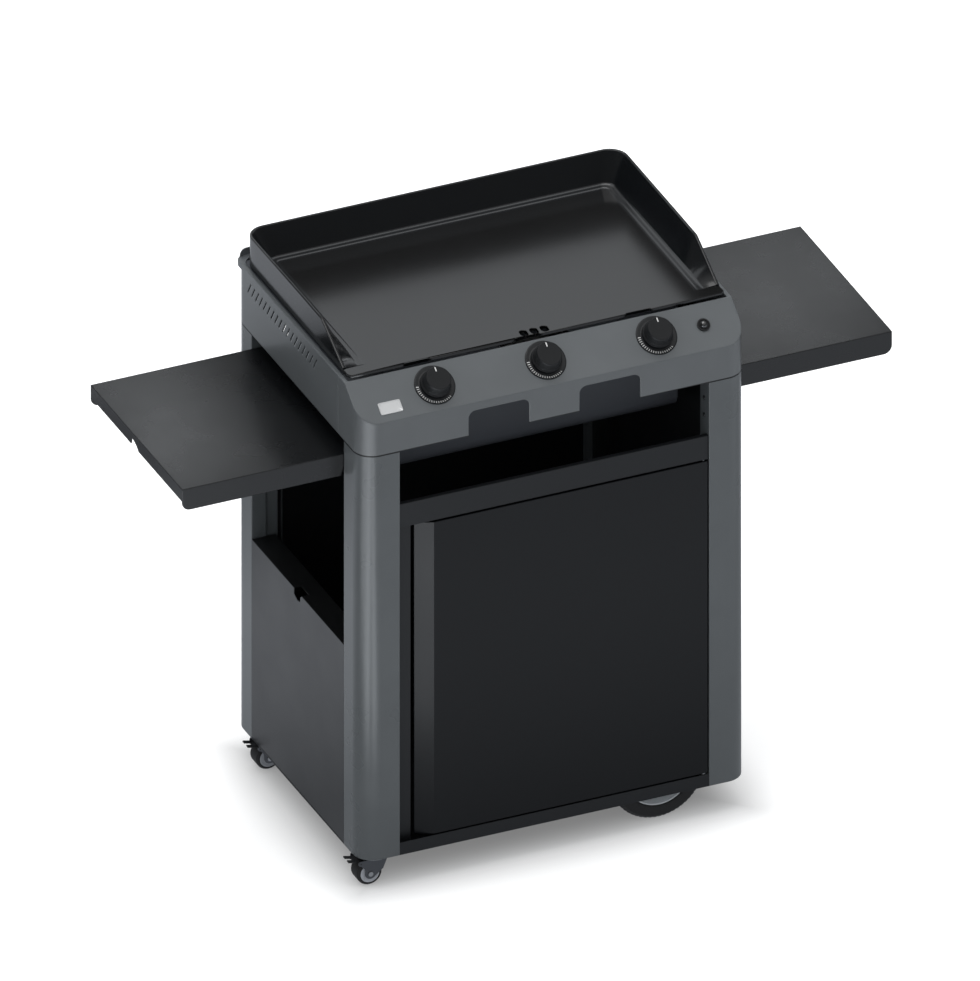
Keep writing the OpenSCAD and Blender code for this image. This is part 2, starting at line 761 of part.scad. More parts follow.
module control_panel() color(steel_grey) at_corner() difference() {
    union() {
        difference() {
            intersection() {
                along_width(0, body_w) panel_outer();
                translate([0, 0, leg_top]) linear_extrude(top_z - leg_top) panel_plan(0);
            }
            intersection() {
                along_width(0, body_w) panel_inner();
                translate([0, 0, leg_top - over]) linear_extrude(top_z - leg_top) panel_plan(sheet);
            }
            box3([lip_w, panel_edge, top_z - 2 * sheet], [body_w - lip_w, seam_y + over, top_z + over]);
        }
        box3([lip_w, slope_run, top_z - panel_turn], [body_w - lip_w, panel_edge, top_z]);
    }
    for (x = knob_places) on_slope(x, slope_len * knob_along_share) translate([0, 0, -3 * sheet])
        cylinder(r = spindle_r + sheet, h = 4 * sheet);
    on_slope(igniter_x, slope_len * knob_along_share) translate([0, 0, -3 * sheet])
        cylinder(d = button_d + sheet, h = 4 * sheet);
    for (s = [-1, 1]) translate([body_w / 2 + s * knob_pitch / 2, 0, 0])
        along_depth(-over, sheet + over) hand_hole();
}

// Bare name plate on the slope
label_t = 1.5;
label_x = 66;
label_along_share = 0.29;

module label_plate() color(pale) at_corner() on_slope(label_x, slope_len * label_along_share)
    box3([-label_w / 2, -label_h / 2, 0], [label_w / 2, label_h / 2, label_t]);

// Burner box: a folded tray with a round lower front edge and flanges that hang it in the casing
box_low = leg_top - box_drop;
box_top = top_z - sheet;
box_end = body_d - box_back;

module box_side_view(inset) {
    r = box_round - inset;
    block2([box_front + inset + r, box_low + inset], [box_end - inset, box_top + (inset > 0 ? over : 0)]);
    block2([box_front + inset, box_low + inset + r], [box_end - inset, box_top + (inset > 0 ? over : 0)]);
    translate([box_front + inset + r, box_low + inset + r]) circle(r);
}

venturi_r = 9;
venturi_rise = 55;
venturi_z = leg_top + venturi_rise;
electrode_r = 3;
electrode_z = venturi_z + burner_r;
electrode_x = burner_r;

module burner_box() color(dark_grey) at_corner() difference() {
    union() {
        along_width(box_side, body_w - box_side) box_side_view(0);
        for (x = [sheet, body_w - box_side])
            box3([x, box_front, box_top - sheet], [x + box_side - sheet, body_d - edge_round, box_top]);
    }
    along_width(box_side + sheet, body_w - box_side - sheet) box_side_view(sheet);
    for (x = knob_places) translate([x, box_front, venturi_z]) rotate([90, 0, 0])
        cylinder(r = venturi_r + clear, h = 4 * sheet, center = true);
    translate([knob_places[2] + electrode_x, box_front, electrode_z]) rotate([90, 0, 0])
        cylinder(r = electrode_r + clear, h = 4 * sheet, center = true);
}

// Burners: a tube with two rows of flame holes and a narrow venturi through the box's front wall
venturi_start = 86;
burner_in = 24;
burner_start = box_front + burner_in;
burner_stop = box_end - sheet;
flame_r = 1.5;
flame_pitch = 24;
flame_count = 15;
flame_lean = 40;

module burner(x) color(bright_steel) at_corner() translate([x, 0, venturi_z]) difference() {
    union() {
        translate([0, burner_start, 0]) rotate([-90, 0, 0])
            cylinder(r = burner_r, h = burner_stop - burner_start);
        translate([0, venturi_start, 0]) rotate([-90, 0, 0])
            cylinder(r = venturi_r, h = burner_start - venturi_start);
        translate([0, venturi_start, 0]) rotate([-90, 0, 0])
            cylinder(r = venturi_r + 2 * sheet, h = 2 * sheet);
    }
    translate([0, burner_start + sheet, 0]) rotate([-90, 0, 0])
        cylinder(r = burner_r - sheet, h = burner_stop - burner_start - 2 * sheet);
    translate([0, venturi_start - over, 0]) rotate([-90, 0, 0])
        cylinder(r = venturi_r - sheet, h = burner_start - venturi_start + 2 * sheet + 2 * over);
    for (i = [0 : flame_count - 1], a = [-flame_lean, flame_lean])
        translate([0, burner_start + flame_pitch * (i + 1), 0])
            rotate([0, a, 0]) cylinder(r = flame_r, h = burner_r + over);
}

module burner_left() burner(knob_places[0]);
module burner_middle() burner(knob_places[1]);
module burner_right() burner(knob_places[2]);

// Gas taps behind the slope, each with a bore for its spindle, on a pipe across the casing
tap_r = 14;
tap_top = 8;
tap_len = 40;
tap_bore = 26;
nozzle_r = 4;
nozzle_in = 4;
nozzle_end = venturi_start + nozzle_in;
pipe_depth = 36;
pipe_side = 18;
pipe_end = 60;
nipple_len = 24;
nut_r = 12;
nut_h = 14;
tee_r = 10;

module on_tap_axis(i) on_slope(knob_places[i], slope_len * knob_along_share) children();

axis_y = slope_run * knob_along_share;
axis_z = crease_z + slope_rise * knob_along_share;
nozzle_y = axis_y + (tap_top + tap_len - tap_r) * sin(slope_tilt);
pipe_y = axis_y + pipe_depth * sin(slope_tilt) - pipe_side * cos(slope_tilt);
pipe_z = axis_z - pipe_depth * cos(slope_tilt) - pipe_side * sin(slope_tilt);

module gas_taps() color(brass) at_corner() for (i = [0 : 2]) difference() {
    on_tap_axis(i) union() {
        translate([0, 0, -tap_top - tap_len]) cylinder(r = tap_r, h = tap_len);
        translate([0, 0, -tap_top]) cylinder(r = tap_r - 2 * sheet, h = tap_top - sheet);
    }
    on_tap_axis(i) translate([0, 0, -tap_top - tap_bore])
        cylinder(r = spindle_r + run_gap, h = tap_bore + tap_top);
    translate([knob_places[i], pipe_y, pipe_z]) rotate([0, 90, 0])
        cylinder(r = pipe_r + clear, h = 4 * tap_r, center = true);
    translate([knob_places[i], nozzle_y, venturi_z]) rotate([-90, 0, 0])
        cylinder(r = nozzle_r, h = nozzle_end - nozzle_y);
}

module gas_nozzles() color(brass) at_corner() for (x = knob_places)
    translate([x, nozzle_y, venturi_z]) rotate([-90, 0, 0])
        cylinder(r = nozzle_r, h = nozzle_end - nozzle_y);

module gas_pipe() color(bright_steel) at_corner() {
    translate([knob_places[0] - pipe_end, pipe_y, pipe_z]) rotate([0, 90, 0])
        cylinder(r = pipe_r, h = 2 * knob_pitch + 2 * pipe_end);
    translate([knob_places[2] + pipe_end, pipe_y, pipe_z - tee_r]) {
        cylinder(r = tee_r, h = 2 * tee_r);
        translate([0, 0, -nut_h]) cylinder(r = nut_r, h = nut_h, $fn = 6);
        translate([0, 0, -nut_h - nipple_len]) cylinder(r = nipple_r, h = nipple_len);
    }
}

// Spindles, which slide when a knob is pressed, and the knobs that turn on them
dial_t = 2.5;
knob_lift = dial_t + press_travel + 2 * clear;
spindle_end = 12;
knob_cap_t = 4;
knob_fall = 4;
knob_edge = 1;
end_room = 1;
spindle_start = -tap_top - tap_bore + press_travel + end_room;

module spindle(i) color(bright_steel) at_corner() on_tap_axis(i) {
    translate([0, 0, spindle_start]) cylinder(r = spindle_r, h = knob_lift + spindle_end - spindle_start);
    translate([0, 0, knob_lift + spindle_end]) cylinder(r = spindle_r + sheet, h = sheet);
}

module spindle_left() spindle(0);
module spindle_middle() spindle(1);
module spindle_right() spindle(2);

module knob_half() difference() {
    polygon([[0, 0], [knob_d / 2, 0], [knob_d / 2, knob_fall],
        [cap_d / 2 + knob_edge, knob_h - knob_cap_t], [cap_d / 2, knob_h - knob_edge],
        [cap_d / 2 - knob_edge, knob_h], [0, knob_h]]);
    block2([0, -over], [spindle_r + run_gap, spindle_end - clear]);
    block2([0, spindle_end - clear], [spindle_r + sheet + clear, spindle_end + sheet + clear]);
}

module knob(i) color(near_black) at_corner() on_tap_axis(i) translate([0, 0, knob_lift])
    rotate_extrude(convexity = 4) knob_half();

module knob_left() knob(0);
module knob_middle() knob(1);
module knob_right() knob(2);

// Dial rings on the slope under the knobs
dial_in = 20;

module dial_rings() color(near_black) at_corner() for (i = [0 : 2]) on_tap_axis(i) rotate_extrude()
    polygon([[dial_in, 0], [dial_d / 2, 0], [dial_d / 2, dial_t / 2],
        [dial_d / 2 - dial_t / 2, dial_t], [dial_in, dial_t]]);

// Igniter: a ring and body through the slope, a domed button in it and an electrode in the box
igniter_len = 36;
button_h = 6;
button_sink = 14;
ring_t = 3;
dome_spare = 1;

module on_igniter_axis() on_slope(igniter_x, slope_len * knob_along_share) children();

module igniter_body() color(near_black) at_corner() on_igniter_axis() difference() {
    union() {
        cylinder(d = igniter_d, h = ring_t);
        translate([0, 0, -igniter_len]) cylinder(d = button_d + sheet - 2 * clear, h = igniter_len);
    }
    translate([0, 0, -button_sink - press_travel - end_room])
        cylinder(d = button_d - sheet + 2 * run_gap, h = igniter_len);
}

module igniter_button() color(near_black) at_corner() on_igniter_axis() rotate_extrude() {
    block2([0, -button_sink], [(button_d - sheet) / 2, ring_t]);
    intersection() {
        translate([0, ring_t + button_h - button_d / 2 - dome_spare]) circle(button_d / 2 + dome_spare);
        block2([0, ring_t], [(button_d - sheet) / 2, ring_t + button_h]);
    }
}

electrode_len = 34;

module igniter_electrode() color(pale) at_corner()
    translate([knob_places[2] + electrode_x, box_front - sheet, electrode_z]) rotate([-90, 0, 0]) {
        cylinder(r = electrode_r, h = electrode_len);
        translate([0, 0, -2 * sheet]) cylinder(r = electrode_r + sheet, h = 3 * sheet);
        cylinder(r = electrode_r / 3, h = electrode_len + 2 * electrode_r);
    }

// Griddle plate: a flat cooking surface with leaning walls on three sides
plate_low = plate_z - plate_t;
plate_front = panel_edge + plate_front_gap;
zone_round = 12;
wall_t = 3;
guard_top = top_z + guard_h;
guard_w_in = guard_side + guard_t;
front_drop = 2;
strip_bevel = 14;
recess_shift = 18;
foot_w = 14;
foot_rise = 5;
skin = 0.25;

// The solid inside the leaning walls, or round them when it is grown by their thickness. A shallow
// band runs round its foot and the steeper walls stand on that.
module tub(grow, low, lift, start) hull() {
    translate([0, 0, low]) linear_extrude(skin) round_block2([plate_side - grow, start],
        [body_w - plate_side + grow, body_d - plate_back + grow], zone_round + grow,
        front = false, $fn = 32);
    translate([0, 0, plate_z + foot_rise - grow]) linear_extrude(skin)
        round_block2([plate_side - foot_w - grow, start],
            [body_w - plate_side + foot_w + grow, body_d - plate_back + foot_w + grow],
            zone_round + foot_w + grow, front = false, $fn = 32);
    translate([0, 0, guard_top + lift - skin]) linear_extrude(skin)
        round_block2([guard_w_in + wall_t - grow, start],
            [body_w - guard_w_in - wall_t + grow, body_d - guard_back - guard_t - wall_t + grow],
            guard_round - guard_t - wall_t + grow, front = false, $fn = 32);
}

module front_strip() translate([0, 0, plate_low + front_drop]) linear_extrude(plate_t - front_drop)
    polygon([[guard_side, guard_end_y], [guard_side, plate_front + strip_bevel],
        [guard_side + strip_bevel, plate_front], [body_w - guard_side - strip_bevel, plate_front],
        [body_w - guard_side, plate_front + strip_bevel], [body_w - guard_side, guard_end_y]]);

// The falling line of the guard's front ends, and everything in front of and above it
module guard_cut() along_width(-over, body_w + over) polygon([[-over, guard_top + 2 * over],
    [guard_bend_y, guard_top + 2 * over], [guard_bend_y, guard_top], [guard_end_y, top_z + guard_end_h],
    [guard_end_y, plate_z], [-over, plate_z]]);

drain_in = 9;

module drain_slot() {
    block2([-(drain_w - drain_h) / 2, -drain_h / 2], [(drain_w - drain_h) / 2, drain_h / 2]);
    for (s = [-1, 1]) translate([s * (drain_w - drain_h) / 2, 0]) circle(drain_h / 2);
}

module griddle_plate() color(enamel) at_corner() difference() {
    union() {
        box3([plate_side - wall_t, plate_front, plate_low],
            [body_w - plate_side + wall_t, body_d - plate_back, plate_z]);
        front_strip();
        difference() {
            tub(wall_t, plate_low, 0, guard_end_y);
            tub(0, plate_z, over, 0);
            guard_cut();
        }
    }
    for (x = knob_places) translate([x - recess_shift, plate_front, plate_low - over])
        box3([-recess_w / 2, -over, 0], [recess_w / 2, recess_d, plate_t + 2 * over]);
    for (i = [-1 : 1]) translate([body_w / 2 + i * drain_pitch, plate_front + drain_in, plate_low - over])
        linear_extrude(plate_t + 2 * over) drain_slot();
}

// Splash guard: an upright skirt round the outside of the walls, closed at its slanted front ends
module guard_ring(inset, start) round_block2([guard_side + inset, start],
    [body_w - guard_side - inset, body_d - guard_back - inset], guard_round - inset, front = false);

skirt_low = top_z + sheet;

module splash_guard() color(enamel) at_corner() {
    difference() {
        translate([0, 0, skirt_low]) linear_extrude(guard_top - skirt_low) difference() {
            guard_ring(0, guard_end_y);
            guard_ring(guard_t, guard_end_y - over);
        }
        guard_cut();
    }
    difference() {
        along_width(guard_side, body_w - guard_side) polygon([[guard_bend_y, guard_top - guard_t],
            [guard_bend_y, guard_top], [guard_end_y, top_z + guard_end_h],
            [guard_end_y, top_z + guard_end_h - guard_t]]);
        tub(wall_t + 2 * skin, plate_low, over, guard_end_y - over);
    }
}

// Pads on the burner box's flanges that carry the plate
pad_r = 9;
pad_in = 72;
pad_front = 150;
pad_back_in = 85;
pad_places = [pad_front, body_d - pad_back_in];

module plate_pads() color(bright_steel) at_corner() for (x = [pad_in, body_w - pad_in], y = pad_places)
    translate([x, y, box_top]) cylinder(r = pad_r, h = plate_low - box_top);

// Grease cup under the drain slots, and the bracket on the burner box that it stands on
cup_front = plate_front;
cup_back = box_front - sheet - clear;
cup_drop = 7;
cup_top = top_z - cup_drop;
cup_wall = 1.5;
cup_lip = 6;

cup_left = (body_w - cup_w) / 2;
cup_right = (body_w + cup_w) / 2;
cup_low = cup_top - cup_h;

module grease_cup() color(bright_steel) at_corner() difference() {
    union() {
        box3([cup_left, cup_front, cup_low], [cup_right, cup_back, cup_top]);
        box3([cup_left - cup_lip, cup_front, cup_top - sheet], [cup_right + cup_lip, cup_back, cup_top]);
    }
    box3([cup_left + cup_wall, cup_front + cup_wall, cup_low + cup_wall],
        [cup_right - cup_wall, cup_back - cup_wall, cup_top + over]);
}

module cup_bracket() color(dark_grey) at_corner() {
    box3([cup_left, box_front - sheet, cup_low - sheet], [cup_right, box_front, cup_top - sheet]);
    box3([cup_left, cup_front, cup_low - sheet], [cup_right, box_front, cup_low]);
}

// Side shelves: a sheet with turned-down aprons whose ears reach in between the legs' flanges
shelf_z = leg_top - shelf_drop;
fold_z = shelf_z - fold_drop;
shelf_front = leg_face + shelf_gap;
shelf_rear = body_d - leg_face - shelf_gap;
ear_h = 2 * fold_drop;
bevel = 5;
hook_shift = 7;
hook_shares = [[-0.5, 0], [-0.2, 0.6], [0.03, 0.85], [0.25, 1], [0.42, 1], [0.5, 0]];

module apron_view() difference() {
    union() {
        block2([-shelf_w + apron_round, shelf_z - apron_h], [-bevel, shelf_z]);
        block2([-shelf_w, shelf_z - apron_h + apron_round], [-bevel, shelf_z]);
        translate([-shelf_w + apron_round, shelf_z - apron_h + apron_round]) circle(apron_round);
        polygon([[-bevel - over, shelf_z - apron_h], [-bevel, shelf_z - apron_h],
            [0, shelf_z - ear_h], [0, shelf_z], [-bevel - over, shelf_z]]);
        block2([-bevel, shelf_z - ear_h], [2 * fold_in, shelf_z]);
    }
    translate([fold_in, fold_z]) circle(fold_pin_r + run_gap);
}

module hook_cut() {
    polygon([for (p = hook_shares) [p[0] * hook_w, p[1] * hook_d]]);
    block2([-hook_w / 2, -over], [hook_w / 2, 0]);
}

module side_shelf() {
    box3([-shelf_w, shelf_front, shelf_z - sheet], [2 * fold_in, shelf_rear, shelf_z]);
    along_depth(shelf_front, shelf_front + sheet) apron_view();
    along_depth(shelf_rear - sheet, shelf_rear) apron_view();
    difference() {
        box3([-shelf_w, shelf_front, shelf_z - end_h], [-shelf_w + sheet, shelf_rear, shelf_z]);
        translate([0, body_d / 2 + hook_shift, shelf_z - end_h])
            along_width(-shelf_w - over, -shelf_w + sheet + over) hook_cut();
    }
}

module side_shelf_left() color(dark_grey) at_corner() side_shelf();
module side_shelf_right() color(dark_grey) at_corner() right_side() side_shelf();

// Pins in the legs' side flanges that the shelves fold on
fold_head_r = 6;

module fold_pin() translate([fold_in, leg_face, fold_z]) rotate([-90, 0, 0]) {
    translate([0, 0, -sheet]) cylinder(r = fold_pin_r, h = 2 * sheet + shelf_gap + clear);
    translate([0, 0, -2 * sheet]) cylinder(r = fold_head_r, h = sheet);
    translate([0, 0, sheet + shelf_gap + clear]) cylinder(r = fold_head_r, h = sheet);
    cylinder(r = fold_head_r, h = shelf_gap - clear);
}

module fold_pins() color(bright_steel) at_corner() {
    fold_pin();
    rear_side() fold_pin();
    right_side() fold_pin();
    right_side() rear_side() fold_pin();
}

leg_front_left();
leg_front_right();
leg_back_left();
leg_back_right();
leg_screws();
base_tray();
back_panel();
inner_wall();
side_panel_left();
side_panel_right();
front_rail();
door_stile();
door();
door_pivot_upper();
door_pivot_lower();
door_catch();
wheel_arch_front();
wheel_arch_back();
wheel_axles();
tyre_front();
tyre_back();
rim_front();
rim_back();
caster_plates();
caster_fork_front();
caster_fork_back();
caster_axle_front();
caster_axle_back();
caster_wheel_front();
caster_wheel_back();
brake_lever_front();
brake_lever_back();
casing();
control_panel();
label_plate();
burner_box();
burner_left();
burner_middle();
burner_right();
gas_pipe();
gas_taps();
gas_nozzles();
spindle_left();
spindle_middle();
spindle_right();
knob_left();
knob_middle();
knob_right();
dial_rings();
igniter_body();
igniter_button();
igniter_electrode();
griddle_plate();
splash_guard();
plate_pads();
grease_cup();
cup_bracket();
side_shelf_left();
side_shelf_right();
fold_pins();
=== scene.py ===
import math

import bmesh
import bpy
import numpy as np
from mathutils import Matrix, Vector
from mathutils.geometry import tessellate_polygon


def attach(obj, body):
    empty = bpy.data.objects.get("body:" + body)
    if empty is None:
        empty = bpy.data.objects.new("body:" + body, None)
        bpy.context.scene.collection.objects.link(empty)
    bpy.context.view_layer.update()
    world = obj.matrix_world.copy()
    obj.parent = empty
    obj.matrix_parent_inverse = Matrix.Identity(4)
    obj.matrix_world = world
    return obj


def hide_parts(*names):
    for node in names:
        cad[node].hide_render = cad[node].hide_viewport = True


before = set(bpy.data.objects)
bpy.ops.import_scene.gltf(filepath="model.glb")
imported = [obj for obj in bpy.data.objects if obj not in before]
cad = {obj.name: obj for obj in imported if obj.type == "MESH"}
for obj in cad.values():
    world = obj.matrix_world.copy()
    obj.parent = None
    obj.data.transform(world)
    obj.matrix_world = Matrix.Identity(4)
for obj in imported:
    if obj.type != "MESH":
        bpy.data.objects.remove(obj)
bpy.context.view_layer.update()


# Camera. The photograph is a parallel view from the left of the front, looking down by
# thirty degrees, so a camera without perspective stands on that line.
view_width = 1.7396
view_middle = Vector((-0.0021, 0.0009, 0.5898))
view_line = Vector((0.348, 0.788, -0.5056)).normalized()

camera = bpy.data.cameras.new("camera")
camera.type = "ORTHO"
camera.ortho_scale = view_width
camera.clip_end = 30
camera_object = bpy.data.objects.new("camera", camera)
camera_object.location = view_middle - 3 * view_line
camera_object.rotation_euler = view_line.to_track_quat("-Z", "Y").to_euler()
bpy.context.scene.collection.objects.link(camera_object)
bpy.context.scene.camera = camera_object
bpy.context.scene.view_settings.view_transform = "Standard"


# Floor and light. A smooth white studio floor carries the soft shadow, and a painted shadow darkens it close
# round the cabinet. A pale room and one broad lamp overhead light every side. Gloss sees a darker room, a
# painted reflection in a ramp of tones on the floor and six flat cards instead.
def new_material(name):
    """An empty material, its node tree and its output."""
    material = bpy.data.materials.new(name)
    material.use_nodes = True
    tree = material.node_tree
    tree.nodes.clear()
    return material, tree, tree.nodes.new("ShaderNodeOutputMaterial")


def add(tree, kind, settings=None, **values):
    """A node with its settings, and values or links for the inputs named with underscores."""
    made = tree.nodes.new("ShaderNode" + kind)
    for key, value in (settings or {}).items():
        setattr(made, key, value)
    for key, value in values.items():
        numbered = key[0] == "i" and key[1:].isdigit()
        socket = made.inputs[int(key[1:]) if numbered else key.replace("_", " ")]
        if isinstance(value, bpy.types.NodeSocket):
            tree.links.new(value, socket)
        else:
            socket.default_value = value
    return made


def seen_directly(tree):
    """One for rays from the camera, from gloss and through glass, and nought for diffuse light."""
    path = add(tree, "LightPath")
    gloss = add(tree, "Math", {"operation": "MAXIMUM"}, i0=path.outputs["Is Camera Ray"],
                i1=path.outputs["Is Glossy Ray"])
    return add(tree, "Math", {"operation": "MAXIMUM"}, i0=gloss.outputs[0],
               i1=path.outputs["Is Transmission Ray"]).outputs[0]


room_light = 0.80
pale_from, pale_by = 0.55, 0.90
gloss_dark, gloss_pale = 0.10, 0.62
room = bpy.data.worlds.new("room")
bpy.context.scene.world = room
room.use_nodes = True
room.node_tree.nodes.clear()
room_way = add(room.node_tree, "SeparateXYZ", i0=add(room.node_tree, "TexCoord").outputs["Generated"])
room_high = add(room.node_tree, "MapRange", {"interpolation_type": "SMOOTHSTEP"}, Value=room_way.outputs["Z"],
                From_Min=pale_from, From_Max=pale_by, To_Min=gloss_dark, To_Max=gloss_pale)
room_ray = add(room.node_tree, "LightPath")
room_tone = add(room.node_tree, "Math", {"operation": "MAXIMUM"}, i0=room_high.outputs["Result"],
                i1=room_ray.outputs["Is Camera Ray"])
room_lit = add(room.node_tree, "Background", Color=(0.97, 0.985, 1, 1), Strength=room_light)
room_seen = add(room.node_tree, "Background", Color=(1, 1, 1, 1), Strength=room_tone.outputs[0])
room_mix = add(room.node_tree, "MixShader", i0=seen_directly(room.node_tree), i1=room_lit.outputs[0],
               i2=room_seen.outputs[0])
room_out = room.node_tree.nodes.new("ShaderNodeOutputWorld")
room.node_tree.links.new(room_mix.outputs[0], room_out.inputs["Surface"])

floor_half = 14.0
floor_lift = 0.50
floor_white, floor_bounce = 0.97, 0.72
# Painted shadow: from shade_to outside the cabinet's footprint to shade_from inside it, the floor's seen white and
# its glow are scaled down to shade_low.
footprint_x, footprint_y = 0.375, 0.2775
shade_from, shade_to, shade_low = -0.085, 0.10, 0.36
floor_finish, tree, output = new_material("floor_white")
floor_place = add(tree, "SeparateXYZ", i0=add(tree, "TexCoord").outputs["Object"])
side_way = add(tree, "Math", {"operation": "ABSOLUTE"}, i0=floor_place.outputs["X"])
side_way = add(tree, "Math", {"operation": "SUBTRACT"}, i0=side_way.outputs[0], i1=footprint_x)
front_way = add(tree, "Math", {"operation": "ABSOLUTE"}, i0=floor_place.outputs["Y"])
front_way = add(tree, "Math", {"operation": "SUBTRACT"}, i0=front_way.outputs[0], i1=footprint_y)
under_way = add(tree, "Math", {"operation": "MAXIMUM"}, i0=side_way.outputs[0], i1=front_way.outputs[0])
under_way = add(tree, "Math", {"operation": "MINIMUM"}, i0=under_way.outputs[0], i1=0.0)
side_out = add(tree, "Math", {"operation": "MAXIMUM"}, i0=side_way.outputs[0], i1=0.0)
front_out = add(tree, "Math", {"operation": "MAXIMUM"}, i0=front_way.outputs[0], i1=0.0)
out_way = add(tree, "CombineXYZ", X=side_out.outputs[0], Y=front_out.outputs[0])
out_way = add(tree, "VectorMath", {"operation": "LENGTH"}, i0=out_way.outputs["Vector"])
edge_way = add(tree, "Math", {"operation": "ADD"}, i0=under_way.outputs[0], i1=out_way.outputs["Value"])
painted_shadow_share = add(tree, "MapRange", {"interpolation_type": "SMOOTHSTEP"}, Value=edge_way.outputs[0],
                 From_Min=shade_from, From_Max=shade_to, To_Min=shade_low, To_Max=1.0)
painted_shadow_white = add(tree, "VectorMath", {"operation": "SCALE"}, i0=(floor_white,) * 3,
                 Scale=painted_shadow_share.outputs["Result"])
floor_tone = add(tree, "Mix", {"data_type": "RGBA"}, i0=seen_directly(tree), i6=(*[floor_bounce] * 3, 1),
                 i7=painted_shadow_white.outputs["Vector"])
floor_paint = add(tree, "BsdfPrincipled", Base_Color=floor_tone.outputs[2], Roughness=0.2, Specular_IOR_Level=0.35)
floor_ray = add(tree, "LightPath")
# The glow is dimmed by the same painted shadow.
floor_raise = add(tree, "Math", {"operation": "MULTIPLY"}, i0=painted_shadow_share.outputs["Result"], i1=floor_lift)
floor_glow = add(tree, "Emission", Color=(1, 1, 1, 1), Strength=floor_raise.outputs[0])
floor_dark = add(tree, "Emission", Color=(0, 0, 0, 1), Strength=0.0)
floor_part = add(tree, "MixShader", i0=floor_ray.outputs["Is Camera Ray"], i1=floor_dark.outputs[0],
                 i2=floor_glow.outputs[0])
floor_sum = add(tree, "AddShader", i0=floor_paint.outputs[0], i1=floor_part.outputs[0])

# Painted reflection: what gloss sees on the floor is a glowing ramp of tones, from in front of the cabinet
# to behind it: a share of the way and a tone, a little cooler than grey.
mirror_near, mirror_far = -1.8, 2.2
mirror_red, mirror_blue = 0.95, 1.08
floor_depth = add(tree, "MapRange", Value=floor_place.outputs["Y"], From_Min=mirror_near, From_Max=mirror_far)
painted_reflection_ramp = add(tree, "ValToRGB", i0=floor_depth.outputs["Result"])
painted_reflection_steps = [(0.0, 0.70), (0.15, 0.86), (0.22, 0.80), (0.34, 0.46), (0.46, 0.34), (0.56, 0.66), (0.64, 0.78),
                (0.73, 0.36), (0.775, 0.17), (0.825, 0.14), (0.855, 0.66), (0.90, 0.80), (1.0, 0.80)]
while len(painted_reflection_ramp.color_ramp.elements) < len(painted_reflection_steps):
    painted_reflection_ramp.color_ramp.elements.new(0.5)
for element, (share, tone) in zip(painted_reflection_ramp.color_ramp.elements, painted_reflection_steps):
    element.position, element.color = share, (tone * mirror_red, tone, tone * mirror_blue, 1)
painted_reflection_glow = add(tree, "Emission", Color=painted_reflection_ramp.outputs["Color"], Strength=1.0)
floor_all = add(tree, "MixShader", i0=floor_ray.outputs["Is Glossy Ray"], i1=floor_sum.outputs[0],
                i2=painted_reflection_glow.outputs[0])
tree.links.new(floor_all.outputs[0], output.inputs["Surface"])

floor_mesh = bpy.data.meshes.new("floor")
floor_mesh.from_pydata([(-floor_half, -floor_half, 0), (floor_half, -floor_half, 0),
                        (floor_half, floor_half, 0), (-floor_half, floor_half, 0)], [], [(0, 1, 2, 3)])
floor = bpy.data.objects.new("floor", floor_mesh)
floor_mesh.materials.append(floor_finish)
bpy.context.scene.collection.objects.link(floor)

lamp_light = bpy.data.lights.new("high_lamp", "SUN")
lamp_light.energy = 0.85
lamp_light.angle = math.radians(40)
lamp_line = Vector((0.06, -0.10, -0.99))
lamp_object = bpy.data.objects.new("high_lamp", lamp_light)
lamp_object.rotation_euler = lamp_line.to_track_quat("-Z", "Y").to_euler()
bpy.context.scene.collection.objects.link(lamp_object)


def card(name, middle, size, energy, turn=(0, 0, 0)):
    """A flat lamp that only shows in glossy surfaces: the studio cards the sheets and the enamel mirror."""
    light = bpy.data.lights.new(name, "AREA")
    light.shape, light.energy, light.color = "RECTANGLE", energy, (0.96, 1.0, 1.04)
    light.size, light.size_y = size
    placed = bpy.data.objects.new(name, light)
    placed.location, placed.rotation_euler = middle, turn
    placed.visible_camera = placed.visible_diffuse = placed.visible_transmission = False
    bpy.context.scene.collection.objects.link(placed)


card_lean = math.radians(-24)
card_x, card_y, card_low, card_long = -1.28, -1.45, 0.012, 1.9
card_high = 1.369
for shift, wide, energy in ((-0.56, 0.36, 6.4), (0.0, 0.50, 10.5), (0.56, 0.36, 6.4)):
    card_middle = (card_x + shift * math.cos(card_lean), card_y + shift * math.sin(card_lean), card_low)
    card("low_card", card_middle, (wide, card_long), energy, (math.pi, 0, card_lean))
card("plate_card", (0.160, 0.400, card_high), (0.74, 0.425), 0.98)
card("left_card", (-0.299, 0.795, card_high), (0.253, 0.54), 0.72)
card("right_card", (0.901, 0.795, card_high), (0.40, 0.54), 0.93)


# Corner legs: folded steel sheet with a round outer corner, under a grey satin powder coat.
# They stand on the bottom tray and are bolted to it, and screws with domed heads hold the casing.
def new_group(name, inputs, outputs):
    """A shader node group with named number, colour or vector sockets."""
    group = bpy.data.node_groups.new(name, "ShaderNodeTree")
    for direction, sockets in (("INPUT", inputs), ("OUTPUT", outputs)):
        for label, kind in sockets:
            group.interface.new_socket(label, in_out=direction, socket_type="NodeSocket" + kind)
    return group, group.nodes.new("NodeGroupInput"), group.nodes.new("NodeGroupOutput")


def make_grain():
    """Fine orange-peel height of a sprayed or moulded skin, and a broad soft mottle for its gloss."""
    group, given, result = new_group("skin_grain", [("Size", "Float")], [("Height", "Float"), ("Mottle", "Float")])
    place = add(group, "TexCoord").outputs["Object"]
    fine = add(group, "TexNoise", Vector=place, Scale=given.outputs["Size"], Detail=2.0, Roughness=0.55)
    broad = add(group, "TexNoise", Vector=place, Scale=7.0, Detail=3.0, Roughness=0.6)
    group.links.new(fine.outputs["Fac"], result.inputs["Height"])
    group.links.new(broad.outputs["Fac"], result.inputs["Mottle"])
    return group


